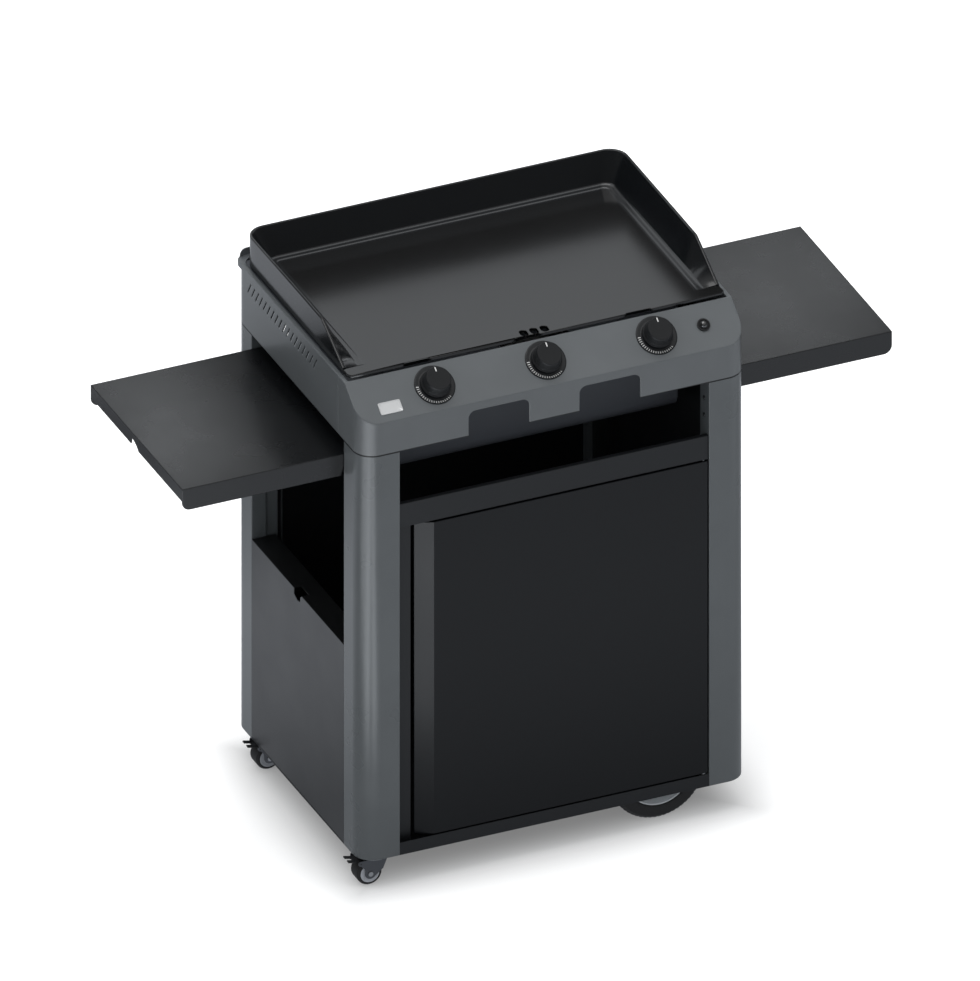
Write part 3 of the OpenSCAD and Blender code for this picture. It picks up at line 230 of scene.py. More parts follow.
def make_edge():
    """Normal of an edge rounded to the radius, and a mask that is one on the rounded line."""
    group, given, result = new_group("rounded_edge", [("Radius", "Float")], [("Normal", "Vector"), ("Edge", "Float")])
    soft = add(group, "Bevel", {"samples": 6}, Radius=given.outputs["Radius"])
    true = add(group, "NewGeometry")
    match = add(group, "VectorMath", {"operation": "DOT_PRODUCT"}, i0=soft.outputs["Normal"],
                i1=true.outputs["Normal"])
    mask = add(group, "MapRange", Value=match.outputs["Value"], From_Min=0.995, From_Max=0.86, To_Min=0.0, To_Max=1.0)
    group.links.new(soft.outputs["Normal"], result.inputs["Normal"])
    group.links.new(mask.outputs["Result"], result.inputs["Edge"])
    return group


grain_group = make_grain()
edge_group = make_edge()


def place_group(tree, group, **values):
    """A node that holds a shared group, with its own values."""
    made = add(tree, "Group", {"node_tree": group})
    for key, value in values.items():
        made.inputs[key].default_value = value
    return made


# Painted shade: a seam's dark line, full within seam_half of its level and gone by seam_fade.
seam_half, seam_fade = 0.0011, 0.0019
seam_shade_colour = (0.006, 0.0065, 0.007, 1)


def skin(name, colour, rough, gloss=0.5, metal=0.0, size=900.0, depth=0.00004, radius=0.0015, edge_lift=1.25, coat=0.0,
         spread=0.06, seam=None):
    """A coated, moulded or plated skin: grain in the bump, mottled gloss, and rounded edges a little lighter
    in colour. A seam gets a painted shade line at its level, for the dark of the gap where parts meet. Colour is
    linear."""
    material, tree, output = new_material(name)
    grain = place_group(tree, grain_group, Size=size)
    edge = place_group(tree, edge_group, Radius=radius)
    shade = add(tree, "MapRange", Value=grain.outputs["Mottle"], From_Min=0.3, From_Max=0.7,
                To_Min=1 - spread, To_Max=1 + spread)
    tint = add(tree, "VectorMath", {"operation": "SCALE"}, i0=colour, Scale=shade.outputs["Result"])
    # Rounded edges are mixed towards the colour times edge_lift, a little lighter.
    tint = add(tree, "Mix", {"data_type": "RGBA"}, i0=edge.outputs["Edge"], i6=tint.outputs["Vector"],
               i7=(*[min(1, c * edge_lift) for c in colour], 1))
    if seam:
        level = add(tree, "SeparateXYZ", i0=add(tree, "TexCoord").outputs["Object"]).outputs["Z"]
        away = add(tree, "Math", {"operation": "SUBTRACT"}, i0=level, i1=seam)
        away = add(tree, "Math", {"operation": "ABSOLUTE"}, i0=away.outputs[0])
        seam_shade = add(tree, "MapRange", Value=away.outputs[0], From_Min=seam_half, From_Max=seam_fade,
                     To_Min=1.0, To_Max=0.0)
        tint = add(tree, "Mix", {"data_type": "RGBA"}, i0=seam_shade.outputs["Result"], i6=tint.outputs[2],
                   i7=seam_shade_colour)
    gloss_map = add(tree, "MapRange", Value=grain.outputs["Mottle"], From_Min=0.3, From_Max=0.7,
                    To_Min=rough * 0.92, To_Max=rough * 1.08)
    bump = add(tree, "Bump", Height=grain.outputs["Height"], Normal=edge.outputs["Normal"], Distance=depth,
               Strength=1.0)
    body = add(tree, "BsdfPrincipled", Base_Color=tint.outputs[2], Roughness=gloss_map.outputs["Result"],
               Normal=bump.outputs["Normal"], Metallic=metal, Specular_IOR_Level=gloss, Coat_Weight=coat,
               Coat_Roughness=0.2)
    tree.links.new(body.outputs[0], output.inputs["Surface"])
    return material


def finish(material, *names):
    """Gives a material to CAD nodes."""
    for name in names:
        cad[name].data.materials.clear()
        cad[name].data.materials.append(material)


leg_top = 0.890
# The legs carry a painted shade line at leg_top, where the casing sits on them.
frame_coat = skin("frame_coat", (0.092, 0.102, 0.108), rough=0.29, radius=0.003, seam=leg_top)
screw_steel = skin("screw_steel", (0.030, 0.031, 0.033), rough=0.3, metal=0.6, radius=0.0008)
finish(frame_coat, "leg_front_left", "leg_front_right", "leg_back_left", "leg_back_right")
finish(screw_steel, "leg_screws")


# Bottom tray, back panel and inner wall: dark coated sheets that close the cabinet. The tray
# carries everything, and the two upright sheets are screwed between the legs.
dark_coat = skin("dark_coat", (0.012, 0.0132, 0.0152), rough=0.5, gloss=0.3, radius=0.001, edge_lift=1.5)
finish(dark_coat, "base_tray", "back_panel", "inner_wall")


# Lower side panels: coated sheet with a lip folded in along the top, notched in the middle so
# that the folded shelf can hook in. They slide in between the front and rear legs.
panel_coat = skin("panel_coat", (0.0050, 0.0055, 0.0063), rough=0.36, radius=0.0022, edge_lift=1.3)
finish(panel_coat, "side_panel_left", "side_panel_right")


# Front rail and door stile: folded sheet screwed across and beside the opening, in a coat
# a shade lighter than the door's.
rail_coat = skin("rail_coat", (0.0085, 0.0096, 0.0112), rough=0.45, gloss=0.35, radius=0.0015, edge_lift=1.3)
finish(rail_coat, "front_rail", "door_stile")


# Door: a pan of sheet steel with turned-in edges and a slanted grip along its free side. It
# swings on two steel pins, and a plastic catch holds it shut.
door_coat = skin("door_coat", (0.0024, 0.0029, 0.0038), rough=0.30, gloss=0.27, radius=0.0015, edge_lift=1.6)
plated_steel = skin("plated_steel", (0.42, 0.43, 0.44), rough=0.32, metal=1.0, size=400.0, radius=0.0006, edge_lift=1.1)
dark_plastic = skin("dark_plastic", (0.012, 0.0125, 0.0135), rough=0.42, gloss=0.45, size=1400.0, radius=0.0008)
finish(door_coat, "door")
finish(plated_steel, "door_pivot_upper", "door_pivot_lower")
finish(dark_plastic, "door_catch")


# Wheel arches and axles: coated covers over the two fixed wheels inside the cabinet, and the
# plain steel axles on which these turn.
finish(dark_coat, "wheel_arch_front", "wheel_arch_back")
finish(plated_steel, "wheel_axles")


# Fixed wheels: a rubber tyre with a ribbed tread on a moulded pale rim with five broad spokes.
# Each turns on its axle under an arch.
cabinet_wide, cabinet_deep = 750.0, 555.0


def corner_place(points):
    """Points in millimetres from the cabinet's left front floor corner, moved to the shared frame."""
    return (np.asarray(points, float) - (cabinet_wide / 2, cabinet_deep / 2, 0.0)) / 1000.0


def rounded(corners, radii, steps=4, hold=0.6):
    """A line through corners, with each inner corner turned into an arc: the arc's points lie on the
    circle that touches both arms, and a holding point follows on either side of it."""
    corners = [np.array(c, float) for c in corners]
    if np.isscalar(radii):
        radii = [radii] * (len(corners) - 2)
    line = [corners[0]]
    for before, corner, after, radius in zip(corners, corners[1:], corners[2:], radii):
        back, ahead = before - corner, after - corner
        back_len, ahead_len = np.linalg.norm(back), np.linalg.norm(ahead)
        back, ahead = back / back_len, ahead / ahead_len
        half = math.acos(max(-1.0, min(1.0, float(back @ ahead)))) / 2
        if radius <= 0 or half > math.pi / 2 - 0.02:
            line.append(corner)
            continue
        reach = min(radius / math.tan(half), 0.42 * back_len, 0.42 * ahead_len)
        radius = reach * math.tan(half)
        middle = corner + (back + ahead) / np.linalg.norm(back + ahead) * radius / math.sin(half)
        first, last = corner + back * reach - middle, corner + ahead * reach - middle
        turn = math.pi - 2 * half
        share = np.linspace(0, 1, steps + 1)[:, None]
        arc = (np.sin((1 - share) * turn) * first + np.sin(share * turn) * last) / math.sin(turn)
        line.append(corner + back * reach * (1 + 0.1 * hold))
        line.extend(middle + arc)
        line.append(corner + ahead * reach * (1 + 0.1 * hold))
    line.append(corners[-1])
    return np.array(line)


def turned(profile, sides=64, swell=None, lift=None):
    """A profile of radius and height carried round the upright axis: x = r cos a, y = r sin a, z = h.
    Swell adds to the radius and lift to the height, each as a function of angle, radius and height."""
    angle = np.linspace(0, 2 * np.pi, sides, endpoint=False)[:, None]
    radius = np.broadcast_to(profile[:, 0][None], (sides, len(profile)))
    height = np.broadcast_to(profile[:, 1][None], (sides, len(profile)))
    r = radius + (swell(angle, radius, height) if swell else 0)
    h = height + (lift(angle, radius, height) if lift else 0)
    return np.stack([r * np.cos(angle), r * np.sin(angle), h], axis=-1)


def stand_on(points, place, axis, up=(0, 0, 1)):
    """Turns points so that their z lies on the axis and their y as near as may be to up."""
    axis = np.array(axis, float) / np.linalg.norm(axis)
    side = np.cross(up, axis)
    side = side / np.linalg.norm(side)
    turn = np.stack([side, np.cross(axis, side), axis])
    return points @ turn + np.array(place, float)


def make_piece(name, grids, material, body, stands_for=(), flats=(), sharp=40.0):
    """One piece from grids of points (each with path closed, profile closed) and flat faces. Doubles are
    merged, the faces are turned outwards, and edges sharper than the given angle stay crisp."""
    points, faces, start = [], [], 0
    for grid, path_closed, profile_closed in grids:
        rows, columns = grid.shape[:2]
        i, j = np.meshgrid(np.arange(rows if path_closed else rows - 1),
                           np.arange(columns if profile_closed else columns - 1), indexing="ij")
        i_next, j_next = (i + 1) % rows, (j + 1) % columns
        quads = np.stack([i * columns + j, i_next * columns + j, i_next * columns + j_next, i * columns + j_next], -1)
        faces += (quads.reshape(-1, 4) + start).tolist()
        points.append(grid.reshape(-1, 3))
        start += rows * columns
    for flat, corners in flats:
        faces += [[c + start for c in face] for face in corners]
        points.append(np.asarray(flat, float))
        start += len(flat)
    mesh = bpy.data.meshes.new(name)
    mesh.from_pydata(np.concatenate(points).tolist(), [], faces)
    shell = bmesh.new()
    shell.from_mesh(mesh)
    bmesh.ops.remove_doubles(shell, verts=shell.verts, dist=2e-6)
    bmesh.ops.dissolve_degenerate(shell, edges=shell.edges, dist=1e-7)
    bmesh.ops.recalc_face_normals(shell, faces=shell.faces)
    shell.to_mesh(mesh)
    shell.free()
    mesh.polygons.foreach_set("use_smooth", np.ones(len(mesh.polygons), bool))
    mesh.set_sharp_from_angle(angle=math.radians(sharp))
    mesh.materials.append(material)
    piece = bpy.data.objects.new(name, mesh)
    bpy.context.scene.collection.objects.link(piece)
    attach(piece, body)
    if stands_for:
        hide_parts(*stands_for)
    return piece


wheel_radius = 90.0
tyre_width = 38.0
rim_radius = 62.0
wheel_across = 590.0
wheel_places = {"front": 44.0, "back": 511.0}

tyre_rubber = skin("tyre_rubber", (0.017, 0.017, 0.018), rough=0.62, gloss=0.35, size=700.0, depth=0.00008,
                   radius=0.0008, edge_lift=1.4)
rim_plastic = skin("rim_plastic", (0.50, 0.53, 0.56), rough=0.35, size=1200.0, radius=0.001, edge_lift=1.0)

half = tyre_width / 2
tyre_profile = rounded([(rim_radius - 0.2, -half + 1.5), (rim_radius + 3, -half), (wheel_radius - 7, -half),
                        (wheel_radius - 1, -half + 6), (wheel_radius, -10.0), (wheel_radius - 1.5, -9),
                        (wheel_radius - 1.5, -7.5), (wheel_radius, -6.5), (wheel_radius, 6.5),
                        (wheel_radius - 1.5, 7.5), (wheel_radius - 1.5, 9), (wheel_radius, 10.0),
                        (wheel_radius - 1, half - 6), (wheel_radius - 7, half), (rim_radius + 3, half),
                        (rim_radius - 0.2, half - 1.5), (rim_radius - 0.2, -half + 1.5)],
                       [2, 4, 4, 2, 0.4, 0.4, 0.4, 0.4, 0.4, 0.4, 0.4, 4, 4, 2, 1], steps=3)


def tread(angle, radius, height):
    """Sixty shallow grooves across the tread: a narrow dip of 1.2 mm where the wave of the angle peaks."""
    wave = np.cos(60 * (angle + 0.02 * np.abs(height) / 10))
    return -1.2 * np.clip((wave - 0.55) / 0.3, 0, 1) * (radius > wheel_radius - 3.5)


rim_profile = rounded([(6.1, -half + 1), (17, -half + 1), (18, -8), (24, -5), (52, -4), (58, -half + 4),
                       (59, -half + 1), (61.7, -half + 1), (61.7, half - 1), (59, half - 1), (58, half - 4), (52, 4),
                       (24, 5), (18, 8), (17, half - 7), (6.1, half - 7), (6.1, -half + 1)],
                      [1, 2, 4, 4, 1, 0.5, 0.5, 0.5, 0.5, 1, 4, 4, 2, 1, 0.3], steps=3)


def spokes(angle, radius, height):
    """Five broad ribs on both faces of the web: the web sinks by 2.2 mm between them."""
    web = np.clip((radius - 20) / 8, 0, 1) * np.clip((56 - radius) / 6, 0, 1)
    between = 0.5 - 0.5 * np.tanh(3.5 * np.cos(5 * angle) + 0.4)
    return -np.sign(height) * 2.2 * web * between


for side, depth in wheel_places.items():
    outwards = -1 if side == "front" else 1
    place = corner_place([wheel_across, depth, wheel_radius])
    make_piece("tyre_tread_" + side, [(stand_on(turned(tyre_profile, 240, swell=tread) / 1000, place,
               (0, outwards, 0)), True, False)], tyre_rubber, "wheel_" + side, ("tyre_" + side,))
    make_piece("rim_spoked_" + side, [(stand_on(turned(rim_profile, 120, lift=spokes) / 1000, place,
               (0, outwards, 0)), True, False)], rim_plastic, "wheel_" + side, ("rim_" + side,))


# Casters: a zinc-plated top plate and pressed forks on the left side, each with a grey hub
# in a black rubber tread, and a plastic pedal that presses on the tread as a brake.
caster_steel = skin("caster_steel", (0.11, 0.115, 0.125), rough=0.35, metal=0.85, size=500.0, radius=0.0008, edge_lift=1.3)
caster_grey = skin("caster_grey", (0.40, 0.42, 0.46), rough=0.4, size=1200.0, radius=0.0006, edge_lift=1.1)
pedal_plastic = skin("pedal_plastic", (0.010, 0.0105, 0.0115), rough=0.38, size=1200.0, radius=0.0012, edge_lift=1.6)
caster_radius = 24.1
caster_half = 17.0
hub_radius = 18.2
caster_across = 26.0
caster_places = {"front": 36.0, "back": 478.0}
tread_profile = rounded([(hub_radius, -caster_half + 0.6), (caster_radius - 3.4, -caster_half),
                         (caster_radius, -caster_half + 4.0), (caster_radius, caster_half - 4.0),
                         (caster_radius - 3.4, caster_half), (hub_radius, caster_half - 0.6),
                         (hub_radius, -caster_half + 0.6)], [0.6, 3, 3, 0.6, 0.2], steps=5)
hub_profile = rounded([(3.1, -caster_half + 0.4), (6.5, -caster_half + 0.4), (7.5, -caster_half + 1.6),
                       (14.5, -caster_half + 1.2), (15.5, -caster_half + 0.3), (hub_radius, -caster_half + 0.6),
                       (hub_radius, caster_half - 0.6), (15.5, caster_half - 0.3), (14.5, caster_half - 1.2),
                       (7.5, caster_half - 1.6), (6.5, caster_half - 0.4), (3.1, caster_half - 0.4),
                       (3.1, -caster_half + 0.4)], 0.4, steps=2)
for side, depth in caster_places.items():
    place = corner_place([caster_across, depth, caster_radius])
    make_piece("caster_tread_" + side, [(stand_on(turned(tread_profile, 72) / 1000, place, (0, -1, 0)), True, False)],
               tyre_rubber, "caster_wheel_" + side, ("caster_wheel_" + side,))
    make_piece("caster_hub_" + side, [(stand_on(turned(hub_profile, 72) / 1000, place, (0, -1, 0)), True, False)],
               caster_grey, "caster_wheel_" + side)
finish(plated_steel, "caster_plates", "caster_axle_front", "caster_axle_back")
finish(caster_steel, "caster_fork_front", "caster_fork_back")
finish(pedal_plastic, "brake_lever_front", "brake_lever_back")


# Casing and control panel: grey coated sheet, folded with soft corners, with slanted slots in
# both sides and two hand holes in the panel's lower edge. They sit on the legs and are screwed down.
# The casing carries a painted shade line at leg_top, where it sits on the legs.
casing_coat = skin("casing_coat", (0.114, 0.124, 0.131), rough=0.33, radius=0.0035, seam=leg_top)
finish(casing_coat, "casing", "control_panel")


# Name plate: a small bare aluminium plate with rounded corners and a pressed rim, glued to the
# panel's slope. It carries nothing.
slope_up = np.array([0.0, 0.8039, 0.5947])
slope_out = np.array([0.0, -0.5947, 0.8039])
band_top = 956.0


def on_slope(x, share):
    """The point on the panel's slope at a width and at a share of the way up it."""
    return corner_place([x, 73 * share, band_top + 54 * share])


plate_wide, plate_high, plate_thick = 43.0, 23.5, 1.4
plate_across, plate_share = 66.0, 0.29
plate_metal = skin("plate_metal", (0.66, 0.665, 0.67), rough=0.36, metal=0.35, size=600.0, radius=0.0003, edge_lift=1.05)
ring_angle = np.linspace(0, 2 * np.pi, 96, endpoint=False)[:, None]
ring_power = 0.16
ring = np.stack([np.sign(np.cos(ring_angle)) * np.abs(np.cos(ring_angle)) ** ring_power,
                 np.sign(np.sin(ring_angle)) * np.abs(np.sin(ring_angle)) ** ring_power], -1)
plate_inset = np.array([0.0, 0.0, 0.3, 1.2, 1.7, plate_high / 2])[None, :]
plate_rise = np.array([0.0, plate_thick - 0.4, plate_thick, plate_thick, plate_thick - 0.35, plate_thick - 0.35])
plate_x = ring[..., 0] * np.maximum(plate_wide / 2 - plate_inset, 0.0)
plate_y = ring[..., 1] * np.maximum(plate_high / 2 - plate_inset, 0.0)
plate_points = np.stack([plate_x, plate_y, np.broadcast_to(plate_rise[None], plate_x.shape)], -1) / 1000
plate_place = on_slope(plate_across, plate_share)
make_piece("name_plate", [(stand_on(plate_points, plate_place, slope_out, slope_up), True, False)],
           plate_metal, "root", ("label_plate",), sharp=30)


# Burner box: a deep steel tub under the plate, in a matt heat-proof coat, with three pressed burners
# that have rows of flame holes. It hangs on its flanges. A bent sheet deflects its heat in front and
# below, and an upright sheet with a folded foot shields the casing's right side.
def folded_sheet(name, outline, along, run, material):
    """A sheet's closed cross-section carried straight along one axis, with both ends filled: every row
    repeats the outline, in the level and in the one of x and y that the sheet doesn't run along."""
    points = np.empty((len(along), len(outline), 3))
    points[..., run] = along[:, None]
    points[..., 1 - run] = outline[:, 0]
    points[..., 2] = outline[:, 1]
    ends = [(corner_place(row), [list(range(len(row)))]) for row in (points[0], points[-1])]
    make_piece(name, [(corner_place(points), False, True)], material, "root", flats=ends)


# The box's grey is lighter than the other inner sheets: partly its own coat, partly painted light for the bay, where
# little light reaches.
box_coat_painted_light = skin("box_coat_painted_light", (0.060, 0.066, 0.078), rough=0.55, gloss=0.35, radius=0.003, edge_lift=1.2)
burner_steel = skin("burner_steel", (0.36, 0.35, 0.34), rough=0.38, metal=1.0, size=260.0, depth=0.00006,
                    radius=0.001, edge_lift=1.1, spread=0.14)
bent_start, bent_front, bent_inner, bent_back = 106.2, 105.6, 106.8, 300
bent_foot, bent_floor, bent_top = 784, 785.2, 884
bent_left, bent_right = 89.5, 660.5
deflector_outline = rounded([(bent_start, bent_top), (bent_front, bent_top), (bent_front, bent_foot),
                             (bent_back, bent_foot), (bent_back, bent_floor), (bent_inner, bent_floor),
                             (bent_inner, bent_top), (bent_start, bent_top)],
                            [0.1, 26, 0.1, 0.1, 24.8, 0.1], steps=10)[:-1]
shield_left, shield_face, shield_right = 690, 699.4, 700.6
shield_foot, shield_fold, shield_top = 891.2, 892.4, 986
shield_near, shield_far = 112, 498
shield_outline = np.array([(shield_face, shield_top), (shield_face, shield_fold), (shield_left, shield_fold),
                           (shield_left, shield_foot), (shield_right, shield_foot), (shield_right, shield_top)])
folded_sheet("heat_deflector", deflector_outline, np.linspace(bent_left, bent_right, 9), 0, box_coat_painted_light)
folded_sheet("side_shield", shield_outline, np.linspace(shield_near, shield_far, 7), 1, dark_coat)
finish(box_coat_painted_light, "burner_box", "cup_bracket")
finish(burner_steel, "burner_left", "burner_middle", "burner_right", "plate_pads")


# Gas way: a plated pipe behind the panel with three brass taps, their nozzles, and the threaded
# nipple on which a hose is pushed. The taps are screwed to the pipe.
tap_brass = skin("tap_brass", (0.46, 0.31, 0.12), rough=0.34, metal=1.0, size=500.0, depth=0.00006, radius=0.0008,
                 edge_lift=1.15, spread=0.1)
finish(plated_steel, "gas_pipe")
finish(tap_brass, "gas_taps", "gas_nozzles")


# Knobs: moulded black plastic on the taps' spindles, with a fine grip round the side, a dished cap
# and a white pointer at the top edge. A press-down frees each knob to turn.
knob_places = {"left": 160.0, "middle": 375.0, "right": 590.0}
knob_share = 0.54
knob_lift = 7.1
knob_plastic = skin("knob_plastic", (0.0095, 0.0105, 0.0120), rough=0.50, gloss=0.30, size=1600.0, depth=0.00003,
                    radius=0.0006, edge_lift=1.5)
knob_profile = rounded([(4.2, 1.0), (4.2, 0.4), (27.4, 0.4), (28.0, 3.2), (25.4, 5.2), (23.6, 20.6), (22.3, 23.6),
                        (0, 23.4)], [0.1, 0.6, 1.2, 2.0, 1.8, 1.0], steps=4)


def grip(angle, radius, height):
    """Forty-eight soft flutes round the side: a ripple of 0.35 mm that fades at the base and the cap."""
    side = np.clip((height - 5.5) / 2, 0, 1) * np.clip((21.5 - height) / 2, 0, 1) * (radius > 20)
    return -0.35 * side * (0.5 + 0.5 * np.cos(48 * angle))


white_mark = skin("white_mark", (0.72, 0.72, 0.71), rough=0.5, size=900.0, radius=0.0002, edge_lift=1.0)
pointer_line = np.array([[12.5, 23.2], [14.0, 23.8], [17.0, 23.9], [20.8, 23.9], [22.7, 23.0], [23.4, 20.5]])
for side, x in knob_places.items():
    place = on_slope(x, knob_share)
    lifted = place + slope_out * knob_lift / 1000
    make_piece("knob_grip_" + side,
               [(stand_on(turned(knob_profile, 192, swell=grip) / 1000, lifted, slope_out, slope_up), True, False)],
               knob_plastic, "knob_" + side, ("knob_" + side,))
    across = np.array([-1.15, -1.0, 1.0, 1.15])[:, None]
    sunk = np.array([-0.6, 0.0, 0.0, -0.6])[:, None]
    pointer = np.stack([np.broadcast_to(across, (4, 6)), np.broadcast_to(pointer_line[:, 0], (4, 6)),
                        pointer_line[:, 1] + sunk], -1)
    make_piece("knob_pointer_" + side, [(stand_on(pointer / 1000, lifted, slope_out, slope_up), False, False)],
               white_mark, "knob_" + side)
finish(plated_steel, "spindle_left", "spindle_middle", "spindle_right")


# Dial rings: moulded plastic discs clipped under the knobs. Short white lines run round the lower
# side from nine o'clock to five o'clock and grow shorter towards the low flame.
dial_plastic = skin("dial_plastic", (0.0125, 0.0138, 0.0155), rough=0.40, gloss=0.36, size=1500.0, depth=0.00003,
                    radius=0.0005, edge_lift=1.4)
dial_profile = rounded([(20.2, 0.1), (20.2, 2.4), (29.0, 2.4), (30.0, 2.1), (36.2, 2.1), (38.0, 1.2), (37.9, 0.1),
                        (20.2, 0.1)], [0.4, 0.6, 0.6, 1.0, 0.8, 0.1], steps=3)
mark_count = 19
mark_angles = np.radians(np.linspace(176, 306, mark_count))
mark_share = np.linspace(0, 1, mark_count)
mark_length = 5.6 - 2.2 * mark_share
mark_half = 0.70 + 0.25 * (mark_share < 0.05) + 0.06 * np.cos(mark_share * 3)


def dial_marks(place):
    """A low four-sided bar for each angle: it lies along the radius, from 36 mm inwards."""
    outer = 36.0
    along = np.stack([outer - mark_length, outer - mark_length + 0.2, np.full(mark_count, outer - 0.2),
                      np.full(mark_count, outer)], 1)
    grids = []
    for angle, reach, wide in zip(mark_angles, along, mark_half):
        out, over_side = np.array([np.cos(angle), np.sin(angle)]), np.array([-np.sin(angle), np.cos(angle)])
        across = np.array([-wide, -wide * 0.8, wide * 0.8, wide])[None, :, None]
        flat = reach[:, None, None] * out + across * over_side
        level = np.array([0.0, 1.0, 1.0, 0.0])
        height = 1.9 + 0.36 * np.minimum(level[:, None], level[None, :])
        grids.append((stand_on(np.concatenate([flat, height[..., None]], -1) / 1000, place, slope_out, slope_up),
                      False, False))
    return grids


marks, rings = [], []
for side, x in knob_places.items():
    place = on_slope(x, knob_share)
    rings.append((stand_on(turned(dial_profile, 96) / 1000, place, slope_out, slope_up), True, False))
    marks += dial_marks(place)
make_piece("dial_discs", rings, dial_plastic, "root", ("dial_rings",))
make_piece("dial_marks", marks, white_mark, "root")


# Igniter: a black ring and body screwed through the slope, a glossy domed button in it, and a
# ceramic electrode that sparks over the right burner.
gloss_black = skin("gloss_black", (0.006, 0.0065, 0.0072), rough=0.2, gloss=1.0, size=900.0, depth=0.00001,
                   radius=0.0005, edge_lift=1.5, coat=1.0)
ring_plastic = skin("ring_plastic", (0.003, 0.0033, 0.0038), rough=0.5, gloss=0.25, size=1400.0, radius=0.0005)
ceramic = skin("ceramic", (0.62, 0.60, 0.55), rough=0.3, size=700.0, radius=0.0004, edge_lift=1.0)
button_profile = rounded([(0, -14), (6.95, -14), (6.95, 4.4), (4.6, 7.6), (0, 8.9)], [0.2, 2.2, 3.4], steps=6)
ring_profile = rounded([(7.3, -4), (7.3, 2.4), (8.0, 3.3), (10.2, 3.3), (12.0, 1.6), (12.0, 0.1), (7.3, 0.1)],
                       [0.4, 0.6, 1.2, 1.0, 0.2], steps=4)
igniter_place = on_slope(681.0, knob_share)
make_piece("igniter_dome", [(stand_on(turned(button_profile, 64) / 1000, igniter_place, slope_out, slope_up), True,
                             False)], gloss_black, "igniter_button", ("igniter_button",))
make_piece("igniter_bezel", [(stand_on(turned(ring_profile, 64) / 1000, igniter_place, slope_out, slope_up), True,
                              False)], ring_plastic, "root")
finish(dark_plastic, "igniter_body")
finish(ceramic, "igniter_electrode")


# Griddle: a flat steel plate welded into leaning walls with a shallow band round their foot, and
# an upright guard folded down outside them, all under one smooth dark enamel. It lifts off.
griddle_enamel = skin("griddle_enamel", (0.0060, 0.0070, 0.0082), rough=0.16, gloss=0.5, size=420.0, depth=0.00001,
                      radius=0.002, edge_lift=1.3)
plate_enamel = skin("plate_enamel", (0.0016, 0.0018, 0.0021), rough=0.12, gloss=0.5, size=500.0, depth=0.00001,
                    radius=0.001, edge_lift=1.3)
plate_level = 1019.0
guard_level, guard_skirt = 1073.0, 1012.0
guard_front, guard_bend, front_level = 104.0, 200.0, 1021.0
foot_inset, flange_inset, step_inset, band_inset, top_inset = 58.0, 53.0, 51.0, 41.0, 15.0
wall_line = rounded([(foot_inset, plate_level + 0.06), (flange_inset, plate_level + 0.06),
                     (step_inset, plate_level + 1.1), (band_inset, plate_level + 1.3), (top_inset, guard_level)],
                    [1.2, 1.2, 8], steps=5)[:-1]
rim_line = rounded([(16.2, guard_level - 2.6), (15.0, guard_level), (10.0, guard_level), (10.0, guard_skirt)],
                   [1.5, 2.0], steps=5)
skirt_line = np.array([(10.0, guard_skirt), (12.0, guard_skirt), (12.0, guard_skirt + 4)])


def guard_plan(inset):
    """Half of the plan for a row of insets: up the left side, round the rear corner and to the middle of the
    back. The back's inset is 5 mm more than the side's, and the corner's radius shrinks as the inset grows."""
    share_front, share_side = np.linspace(0, 1, 17)[:, None], np.linspace(0, 1, 14)[1:, None]
    share_corner, share_back = np.linspace(0, 1, 17)[1:, None], np.linspace(0, 1, 16)[1:, None]
    back = 550 - inset
    bend = np.interp(inset, [10, 15, 38, 52, 58], [36, 31, 24, 12, 8])
    start = np.broadcast_to(guard_front + (guard_bend - guard_front) * share_front, (17, len(inset)))
    side_y = np.concatenate([start, guard_bend + (back - bend - guard_bend) * share_side])
    turn = np.pi - share_corner * np.pi / 2
    x = np.concatenate([np.broadcast_to(inset, side_y.shape), inset + bend + bend * np.cos(turn),
                        inset + bend + (cabinet_wide / 2 - inset - bend) * share_back])
    y = np.concatenate([side_y, back - bend + bend * np.sin(turn), np.broadcast_to(back, (15, len(inset)))])
    fall = np.concatenate([share_front[:, 0], np.ones(len(y) - 17)])
    return x, y, fall


section = np.concatenate([wall_line, rim_line, skirt_line])
plan_x, plan_y, fall = guard_plan(section[:, 0])
soft_bend = np.clip(1 - np.abs(np.arange(len(fall)) - 16) / 3.0, 0, 1)
rim_level = front_level + (guard_level - front_level) * fall - 1.2 * soft_bend * (1 - 0.5 * soft_bend)
squash = ((rim_level - plate_level) / (guard_level - plate_level))[:, None]
on_rim = (np.arange(len(section)) >= len(wall_line)) & (section[:, 1] > guard_skirt + 8)
height = plate_level + (section[:, 1] - plate_level) * squash
height = np.where(on_rim, rim_level[:, None] + (section[:, 1] - guard_level) * np.minimum(1, squash + 0.35), height)
height = np.where(np.arange(len(section)) >= len(wall_line) + len(rim_line) - 1, section[:, 1], height)
height[:, 0] = plate_level + 0.06
left_half = np.stack([plan_x, plan_y, height], -1)
right_half = left_half[::-1] * (-1, 1, 1) + (cabinet_wide, 0, 0)
guard_points = np.concatenate([left_half, right_half[1:]])
guard_ends = [(corner_place(row), [list(range(len(row)))]) for row in (guard_points[0], guard_points[-1])]
make_piece("guard_wall", [(corner_place(guard_points), False, False)], griddle_enamel, "griddle",
           ("splash_guard",), flats=guard_ends, sharp=50)

recess_wide, recess_deep, recess_shift = 48.0, 3.0, 18.0
front_edge, strip_side, strip_bevel = 77.0, 10.0, 7.0
zone_side, zone_back, zone_round = 49.0, 500.0, 15.0
slot_wide, slot_high, slot_pitch, slot_back = 14, 20, 20, 13.0


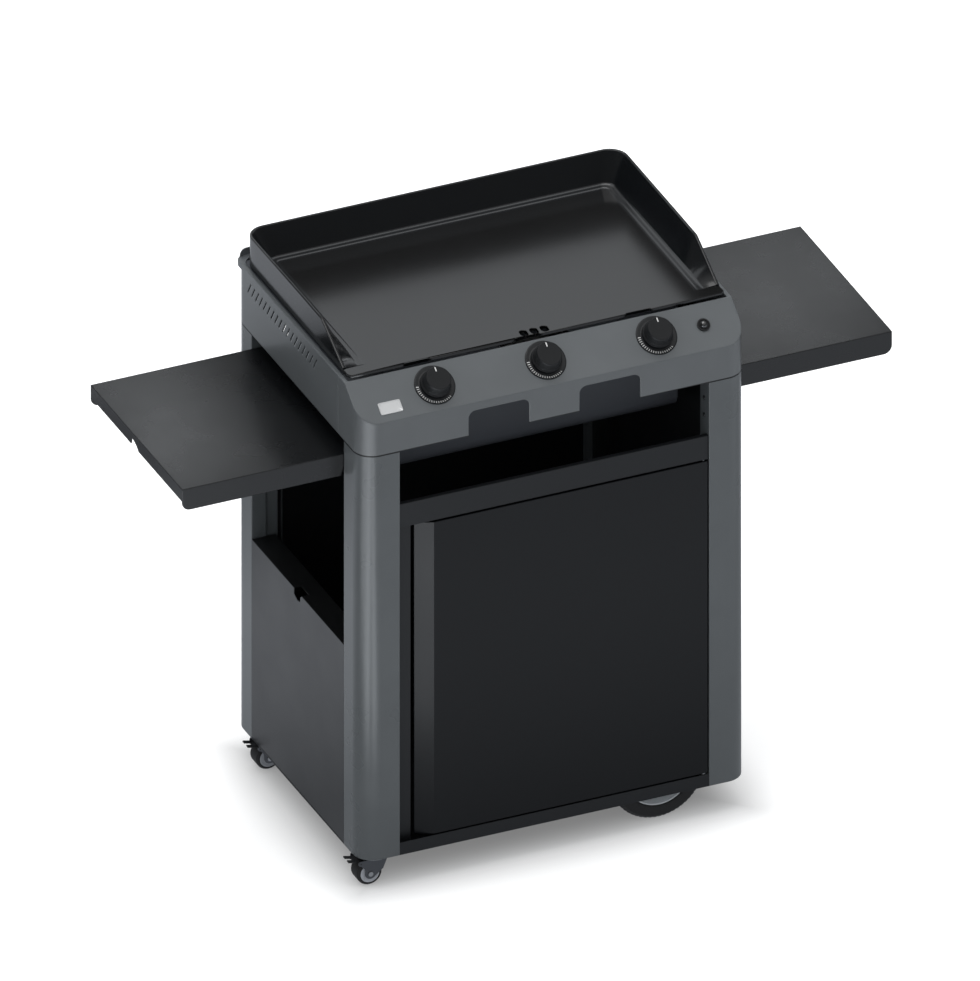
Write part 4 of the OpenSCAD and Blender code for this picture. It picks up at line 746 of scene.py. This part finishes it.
def plate_outline():
    """The plate seen from above: the front strip with its cut corners and three shallow recesses, and
    behind it the cooking surface as far as the walls' foot, with round rear corners."""
    corner = np.radians(np.linspace(0, 90, 9))
    right_back = np.stack([cabinet_wide - zone_side - zone_round + zone_round * np.cos(corner),
                           zone_back - zone_round + zone_round * np.sin(corner)], 1)
    front = [(strip_side, front_edge + strip_bevel), (strip_side + strip_bevel, front_edge)]
    for x in knob_places.values():
        low, high = x - recess_shift - recess_wide / 2, x - recess_shift + recess_wide / 2
        front += [(low, front_edge), (low + 1, front_edge + recess_deep), (high - 1, front_edge + recess_deep),
                  (high, front_edge)]
    far_side = cabinet_wide - strip_side
    front += [(far_side - strip_bevel, front_edge), (far_side, front_edge + strip_bevel),
              (far_side, guard_front), (cabinet_wide - zone_side, guard_front)]
    left_back = right_back[::-1] * (-1, 1) + (cabinet_wide, 0)
    return np.concatenate([front, right_back, left_back, [(zone_side, guard_front), (strip_side, guard_front)]])


def oval(middle_x, middle_y, wide, high, count=20):
    """A slot's outline: two half circles of the slot's height, half the spare width either side."""
    angle = np.linspace(0, 2 * np.pi, count, endpoint=False) + np.pi / count
    bend = min(wide, high) / 2
    shift_x, shift_y = (wide / 2 - bend) * np.sign(np.cos(angle)), (high / 2 - bend) * np.sign(np.sin(angle))
    return np.stack([middle_x + shift_x + bend * np.cos(angle), middle_y + shift_y + bend * np.sin(angle)], 1)


def drawn_in(outline, inset):
    """The outline moved to its left by the inset, each corner along the line that halves it."""
    ahead = np.roll(outline, -1, 0) - outline
    ahead /= np.linalg.norm(ahead, axis=1, keepdims=True)
    normal = np.stack([-ahead[:, 1], ahead[:, 0]], 1)
    before = np.roll(normal, 1, 0)
    mitre = (normal + before) / (1 + np.sum(normal * before, 1, keepdims=True))
    return outline + mitre * inset


edge_inset = np.array([1.2, 0.8, 0.35, 0.1, 0.0, 0.0, 0.5])
edge_level = np.array([0.0, 0.0, -0.25, -0.65, -1.0, -5.6, -6.0]) + plate_level
slots = [oval(cabinet_wide / 2 + i * slot_pitch, front_edge + slot_back, slot_wide, slot_high)[::-1]
         for i in (-1, 0, 1)]
loops = [plate_outline()] + slots
plate_grids, top_points = [], []
for loop in loops:
    rings_of_loop = np.stack([np.concatenate([drawn_in(loop, inset), np.full((len(loop), 1), level)], 1)
                              for inset, level in zip(edge_inset, edge_level)], 1)
    plate_grids.append((corner_place(rings_of_loop), True, False))
    top_points.append(rings_of_loop)
plate_flats = []
for column in (0, -1):
    rims = [rings_of_loop[:, column] for rings_of_loop in top_points]
    faces = tessellate_polygon([[Vector(point) for point in rim] for rim in rims])
    plate_flats.append((corner_place(np.concatenate(rims)), [list(face) for face in faces]))
make_piece("cooking_plate", plate_grids, plate_enamel, "griddle", ("griddle_plate",),
           flats=plate_flats, sharp=50)


# Grease cup: a stainless cup that slides in under the plate's drain slots, on a small bracket
# of coated steel.
cup_steel = skin("cup_steel", (0.50, 0.50, 0.50), rough=0.3, metal=1.0, size=300.0, radius=0.001, edge_lift=1.08,
                 spread=0.1)
finish(cup_steel, "grease_cup")


# Side shelves: coated sheet with turned-down aprons, an apron along the far end with a hook
# notch, and ears that turn on pins between the legs' flanges.
shelf_coat = skin("shelf_coat", (0.0042, 0.0048, 0.0056), rough=0.28, gloss=0.5, radius=0.0026, edge_lift=1.25)
finish(shelf_coat, "side_shelf_left", "side_shelf_right")
finish(plated_steel, "fold_pins")
